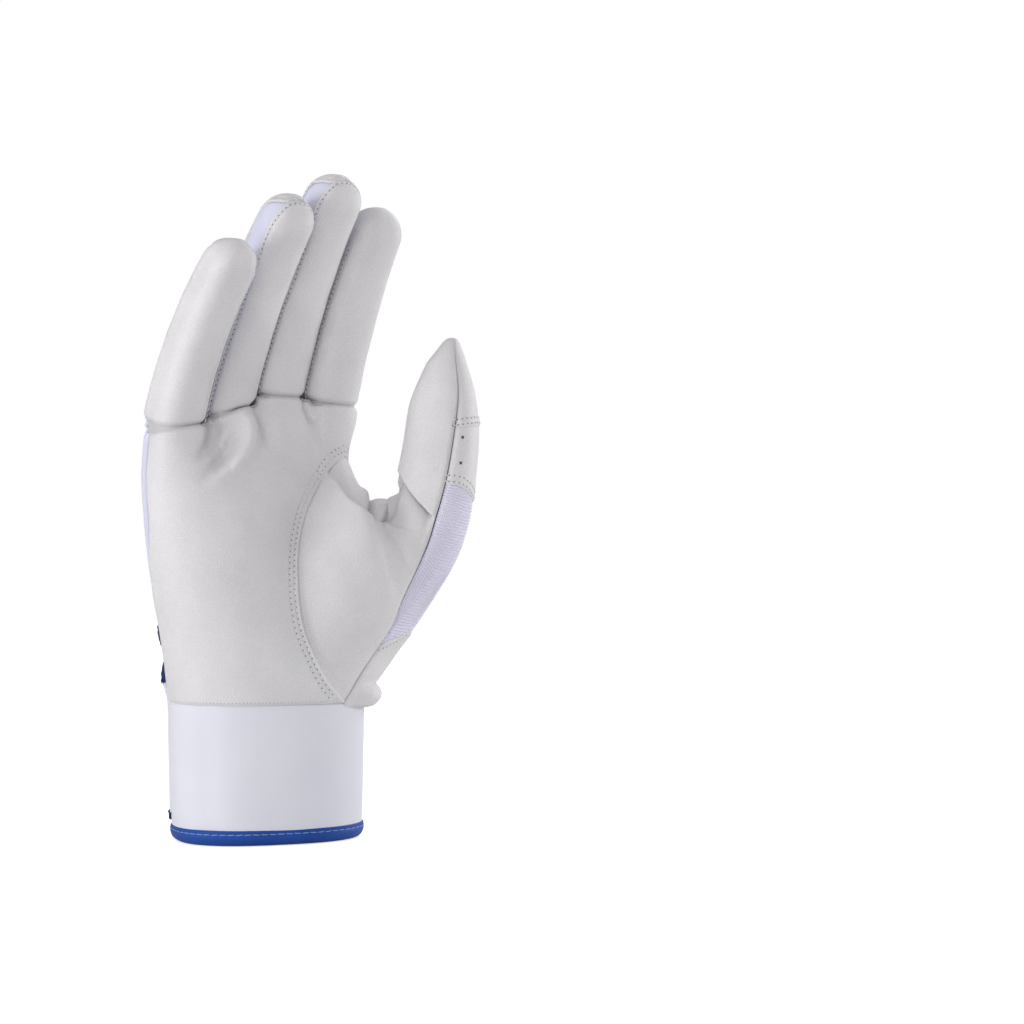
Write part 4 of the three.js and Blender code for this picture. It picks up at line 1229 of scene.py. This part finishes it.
thumbSeams += [vent.row(vent.p[0], inset) for inset in thumbLook["ventRows"]]
thumbSeams += [tipBack.row(tipBack.p[0], inset) for inset in thumbLook["tipRows"]]
sewRows("thumbStitches", thumbSeams, leatherSeam, "white_leather", *thumbBodies)


def ventHoles(panel, spots, radius, corners):  # small dark rounds laid in the leather: painted shade of the perforations
    top, points, faces = panel.top(), [], []
    onView = onPhoto(top)
    for spot in spots:
        d = np.linalg.norm(onView - np.array(spot), axis=-1) + 1e3 * (panel.n @ viewBack < 0.05)
        at = np.unravel_index(np.argmin(d), d.shape)
        lay = Vector(panel.n[at])
        side = lay.orthogonal().normalized()
        other = lay.cross(side)
        first = len(points)
        for k in range(corners):
            c, s = cosSin(360 * k / corners)
            points.append((Vector(top[at]) + lay * 0.06 + (side * float(c) + other * float(s)) * radius) * mm)
        faces.append(list(range(first, first + corners)))
    mesh = bpy.data.meshes.new("ventHoles")
    mesh.from_pydata(points, [], faces)
    return finishMesh("ventHoles", mesh, ventDark)


vents = ventHoles(vent, thumbLook["vents"], thumbLook["ventWide"], thumbLook["ventCorners"])
fit(vents, "white_leather", [], *thumbBodies)
print("thumb sewn")

# Cuff, hem, elastic and the closing strap
bandLook = {"top": (0.4, 0.9, 0.2), "uneven": (0.12, 12.0, 61)}
hemLook = {"swell": 0.4, "sink": 0.25, "rollTop": 4.0, "roll": 2.6, "round": 0.5, "rowUp": 4.2,
           "row": (0.18, 0.5, 0.3), "stitch": 1.4}
elasticLook = {"thick": 0.8, "in": -0.5, "gap": 0.6, "rib": 0.2, "ribTurn": 2.4}
strapLook = {"root": 314.0, "end": 203.0, "low": 6.0, "high": 59.0, "thick": 1.2, "edge": 3.6, "pad": 0.6,
             "padGap": 0.3, "rise": 2.1, "riseBefore": 32.0, "riseOver": 26.0, "climb": 5.0,
             "climbFrom": 262.0, "climbOver": 50.0, "corner": 9.0, "cornerFrom": 216.0, "cornerWide": 13.5,
             "round": 0.6, "uneven": (0.1, 10.0, 71), "stitch": 0.9}
cuffFolds = (  # path on the photo, half-width, height, darkness of painted shade
    (((204, 690), (209, 870)), 5.0, -0.7, 0),
    (((300, 700), (295, 860)), 12.0, 0.4, 0))
cuffColumns = spaced(cuff["slitTo"] - 360, cuff["slitFrom"], 200)
cuffBand = Panel(cuffPoint, spaced(cuff["hem"] - 1.5, cuff["height"] + 0.15, 60), cuffColumns)
cuffBand.press(bandLook["top"], cuffBand.p[-1])
cuffBand.folds(cuffFolds)
cuffBand.uneven(*bandLook["uneven"])
fit(cuffBand.shell("cuffBand", cuff["thick"], cuffCloth), "cuff_fabric", ["cuff_band"], "palm")


def hemPoint(a, t):  # up the outside from the lower edge, with rows closer at both ends
    z = 0.5 * cuff["hem"] * (1 - np.cos(np.clip(t, 0, 1) * np.pi))
    flat = cuffPoint(a, np.full_like(a, cuff["hem"]), cuff["hemLip"]) * (1, 1, 0)
    return flat + np.stack([0 * a, 0 * a, z], -1)


hem = Panel(hemPoint, np.linspace(0, 1, 24), cuffColumns)
hem.relief += hemLook["swell"] * np.sin(hem.v * np.pi) - hemLook["sink"]
tuck = np.clip(1 - hem.p[..., 2] / hemLook["rollTop"], 0, 1)
hem.relief -= hemLook["roll"] * (1 - np.sqrt(1 - 0.97 * tuck ** 2))
hem.roundOff(hemLook["round"], hem.p[-1])
hem.groove(hem.p[..., 2] - hemLook["rowUp"], *hemLook["row"])
hemThick = cuff["thick"] + 2 * cuff["hemLip"]
fit(hem.shell("hemBinding", hemThick, blueCloth), "blue_binding", ["hem_binding"], "palm")
hemSeams = [hem.row(hem.p[-1, 4:-4], hemLook["stitch"])]
sewRows("hemStitches", hemSeams, hemSeam, "blue_binding", "palm")
slitColumns = spaced(cuff["slitFrom"] + elasticLook["gap"], cuff["slitTo"] - elasticLook["gap"], 40)
elasticRows = spaced(1, cuff["height"] - 0.3, 60)
elastic = Panel(lambda a, z: cuffPoint(a, z, elasticLook["in"]), elasticRows, slitColumns)
elastic.relief += elasticLook["rib"] * np.sin(elastic.v * elasticLook["ribTurn"])
fit(elastic.shell("cuffElastic", elasticLook["thick"], stretch), "stretch_fabric", ["cuff_gusset"], "palm")
loops = Panel(lambda a, z: cuffPoint(a, z, strapLook["padGap"] + strapLook["pad"]),
              spaced(14, strapLook["high"] - 12, 40), spaced(strapLook["end"] + 6, cuff["slitFrom"] - 3, 50))
fit(loops.shell("loopPad", strapLook["pad"], padCloth), "closure_pad", ["loop_pad"], "palm")


def strapPoint(angle, z, more=0.0):
    look = strapLook
    toCorner = np.clip((look["cornerFrom"] - angle) / look["cornerWide"], 0, 0.98)
    corner = 1 - np.sqrt(1 - toCorner ** 2)
    climb = look["climb"] * soft((look["climbFrom"] - angle) / look["climbOver"])
    z = z + (climb - look["corner"] * corner) * soft((z - 20) / 35)  # only the upper edge
    inside = 3 * look["padGap"] + 2 * look["pad"]
    toRoot = angle - look["root"] + look["riseBefore"]
    off = mix(inside, look["rise"], soft(toRoot / look["riseOver"]))
    atEnd = 0.3 + 1.6 * soft((z - 48) / 8)  # the free end lies close, its upper corner stands off
    off = mix(atEnd, off, soft((angle - look["end"]) / 14)) + look["thick"]
    return cuffPoint(angle, z, off + more)


strapAngles = spaced(strapLook["end"], strapLook["root"], 120)
low, high, edge = strapLook["low"], strapLook["high"], strapLook["edge"]
strap = Panel(strapPoint, spaced(low + edge - 1, high - edge + 1, 60), strapAngles)
strap.uneven(*strapLook["uneven"])
strap.roundOff(strapLook["round"], strap.p[:, 0])
fit(strap.shell("wristStrap", strapLook["thick"], cuffCloth), "cuff_fabric", ["wrist_strap"], "strap")
hooks = Panel(lambda a, z: strapPoint(a, z, -strapLook["thick"] - strapLook["padGap"]),
              spaced(16, high - 14, 40), spaced(strapLook["end"] + 10, cuff["slitFrom"] - 8, 50))
fit(hooks.shell("hookPad", strapLook["pad"], padCloth), "closure_pad", ["hook_pad"], "strap")
strapSeams = []
for name, node, foot in (("strapBindingTop", "strap_binding_top", high - edge),
                         ("strapBindingBottom", "strap_binding_bottom", low)):
    binding = Panel(lambda a, z: strapPoint(a, z, strapLook["padGap"]), spaced(foot, foot + edge, 10),
                    strapAngles)
    binding.roundOff(strapLook["round"], binding.p[0], binding.p[-1], binding.p[:, 0])
    bindingThick = strapLook["thick"] + 2 * strapLook["padGap"]
    # the strap bindings take the darker copy of the binding blue: painted shade
    fit(binding.shell(name, bindingThick, shadedBlueCloth), "blue_binding", [node], "strap")
    strapSeams.append(binding.row(binding.p[0 if foot > low else -1, 4:-3], strapLook["stitch"]))
sewRows("strapStitches", strapSeams, trimSeam, "blue_binding", "strap")
print("cuff and strap sewn")

# Plain studio: white floor and world, soft light from both sides
studio = {"aim": (0, 0, 0.12), "world": 0.37, "floorReach": 6.0, "floorDown": 0.0003, "floorLift": 0.68,
          "floorGrain": 0.025, "paper": ((0.86, 0.86, 0.86, 1), (0.88, 0.88, 0.88, 1))}
lamps = (  # name, place, size, power
    ("keyLight", (-1.138, 0.16, 0.16), 0.5, 7.6), ("frontLight", (-0.712, -0.738, 0.642), 0.8, 4.8),
    ("fillLight", (1.092, -0.356, 0.2), 0.5, 6.0), ("backLight", (0.862, 0.183, 0.859), 0.9, 5.4))


def buildStudio():
    scene = bpy.context.scene
    camera = bpy.data.objects.new("camera", bpy.data.cameras.new("camera"))
    camera.data.lens, camera.data.sensor_width = photoView["lens"], photoView["sensor"]
    camera.location = viewEye * mm
    camera.rotation_mode = "QUATERNION"
    camera.rotation_quaternion = (-Vector(viewBack)).to_track_quat("-Z", "Y")
    camera.data.clip_start, camera.data.clip_end = 0.01, 50
    scene.collection.objects.link(camera)
    scene.camera = camera
    for name, spot, size, power in lamps:
        lamp = bpy.data.lights.new(name, "AREA")
        lamp.size, lamp.energy = size, power
        light = bpy.data.objects.new(name, lamp)
        light.location = spot
        light.rotation_mode = "QUATERNION"
        light.rotation_quaternion = (Vector(studio["aim"]) - Vector(spot)).to_track_quat("-Z", "Y")
        scene.collection.objects.link(light)
    world = bpy.data.worlds.new("studio")
    world.use_nodes = True
    world.node_tree.nodes.clear()
    bench = Bench(world.node_tree)
    seen = bench.add("ShaderNodeLightPath", out="Is Camera Ray")
    level = seen * (1 - studio["world"]) + studio["world"]  # white to the camera, dimmer as light
    glow = bench.add("ShaderNodeBackground", None, {"Color": (1, 1, 1, 1), "Strength": level})
    bench.add("ShaderNodeOutputWorld", None, {"Surface": glow})
    scene.world = world
    mesh = bpy.data.meshes.new("floor")
    corners = ((-1, -1), (1, -1), (1, 1), (-1, 1))
    reach, down = studio["floorReach"], studio["floorDown"]
    mesh.from_pydata([(x * reach, y * reach, -down) for x, y in corners], [], [(0, 1, 2, 3)])
    material, bench = newFinish("floorPaper")
    grain = bench.noise(bench.add("ShaderNodeTexCoord", out="Object"), studio["floorGrain"], 2.0)
    shade = bench.add("ShaderNodeBsdfDiffuse", None, {"Color": bench.blendColour(grain, *studio["paper"])})
    level = bench.add("ShaderNodeLightPath", out="Is Camera Ray") * studio["floorLift"]
    lift = bench.add("ShaderNodeEmission", None, {"Color": (1, 1, 1, 1), "Strength": level})
    both = bench.add("ShaderNodeAddShader", None, {0: shade, 1: lift})
    bench.add("ShaderNodeOutputMaterial", None, {"Surface": both})
    mesh.materials.append(material)
    floor = bpy.data.objects.new("floor", mesh)
    scene.collection.objects.link(floor)
    floor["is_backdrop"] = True
    scene.view_settings.view_transform = "Standard"


buildStudio()
low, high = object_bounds()
print("scene ready")
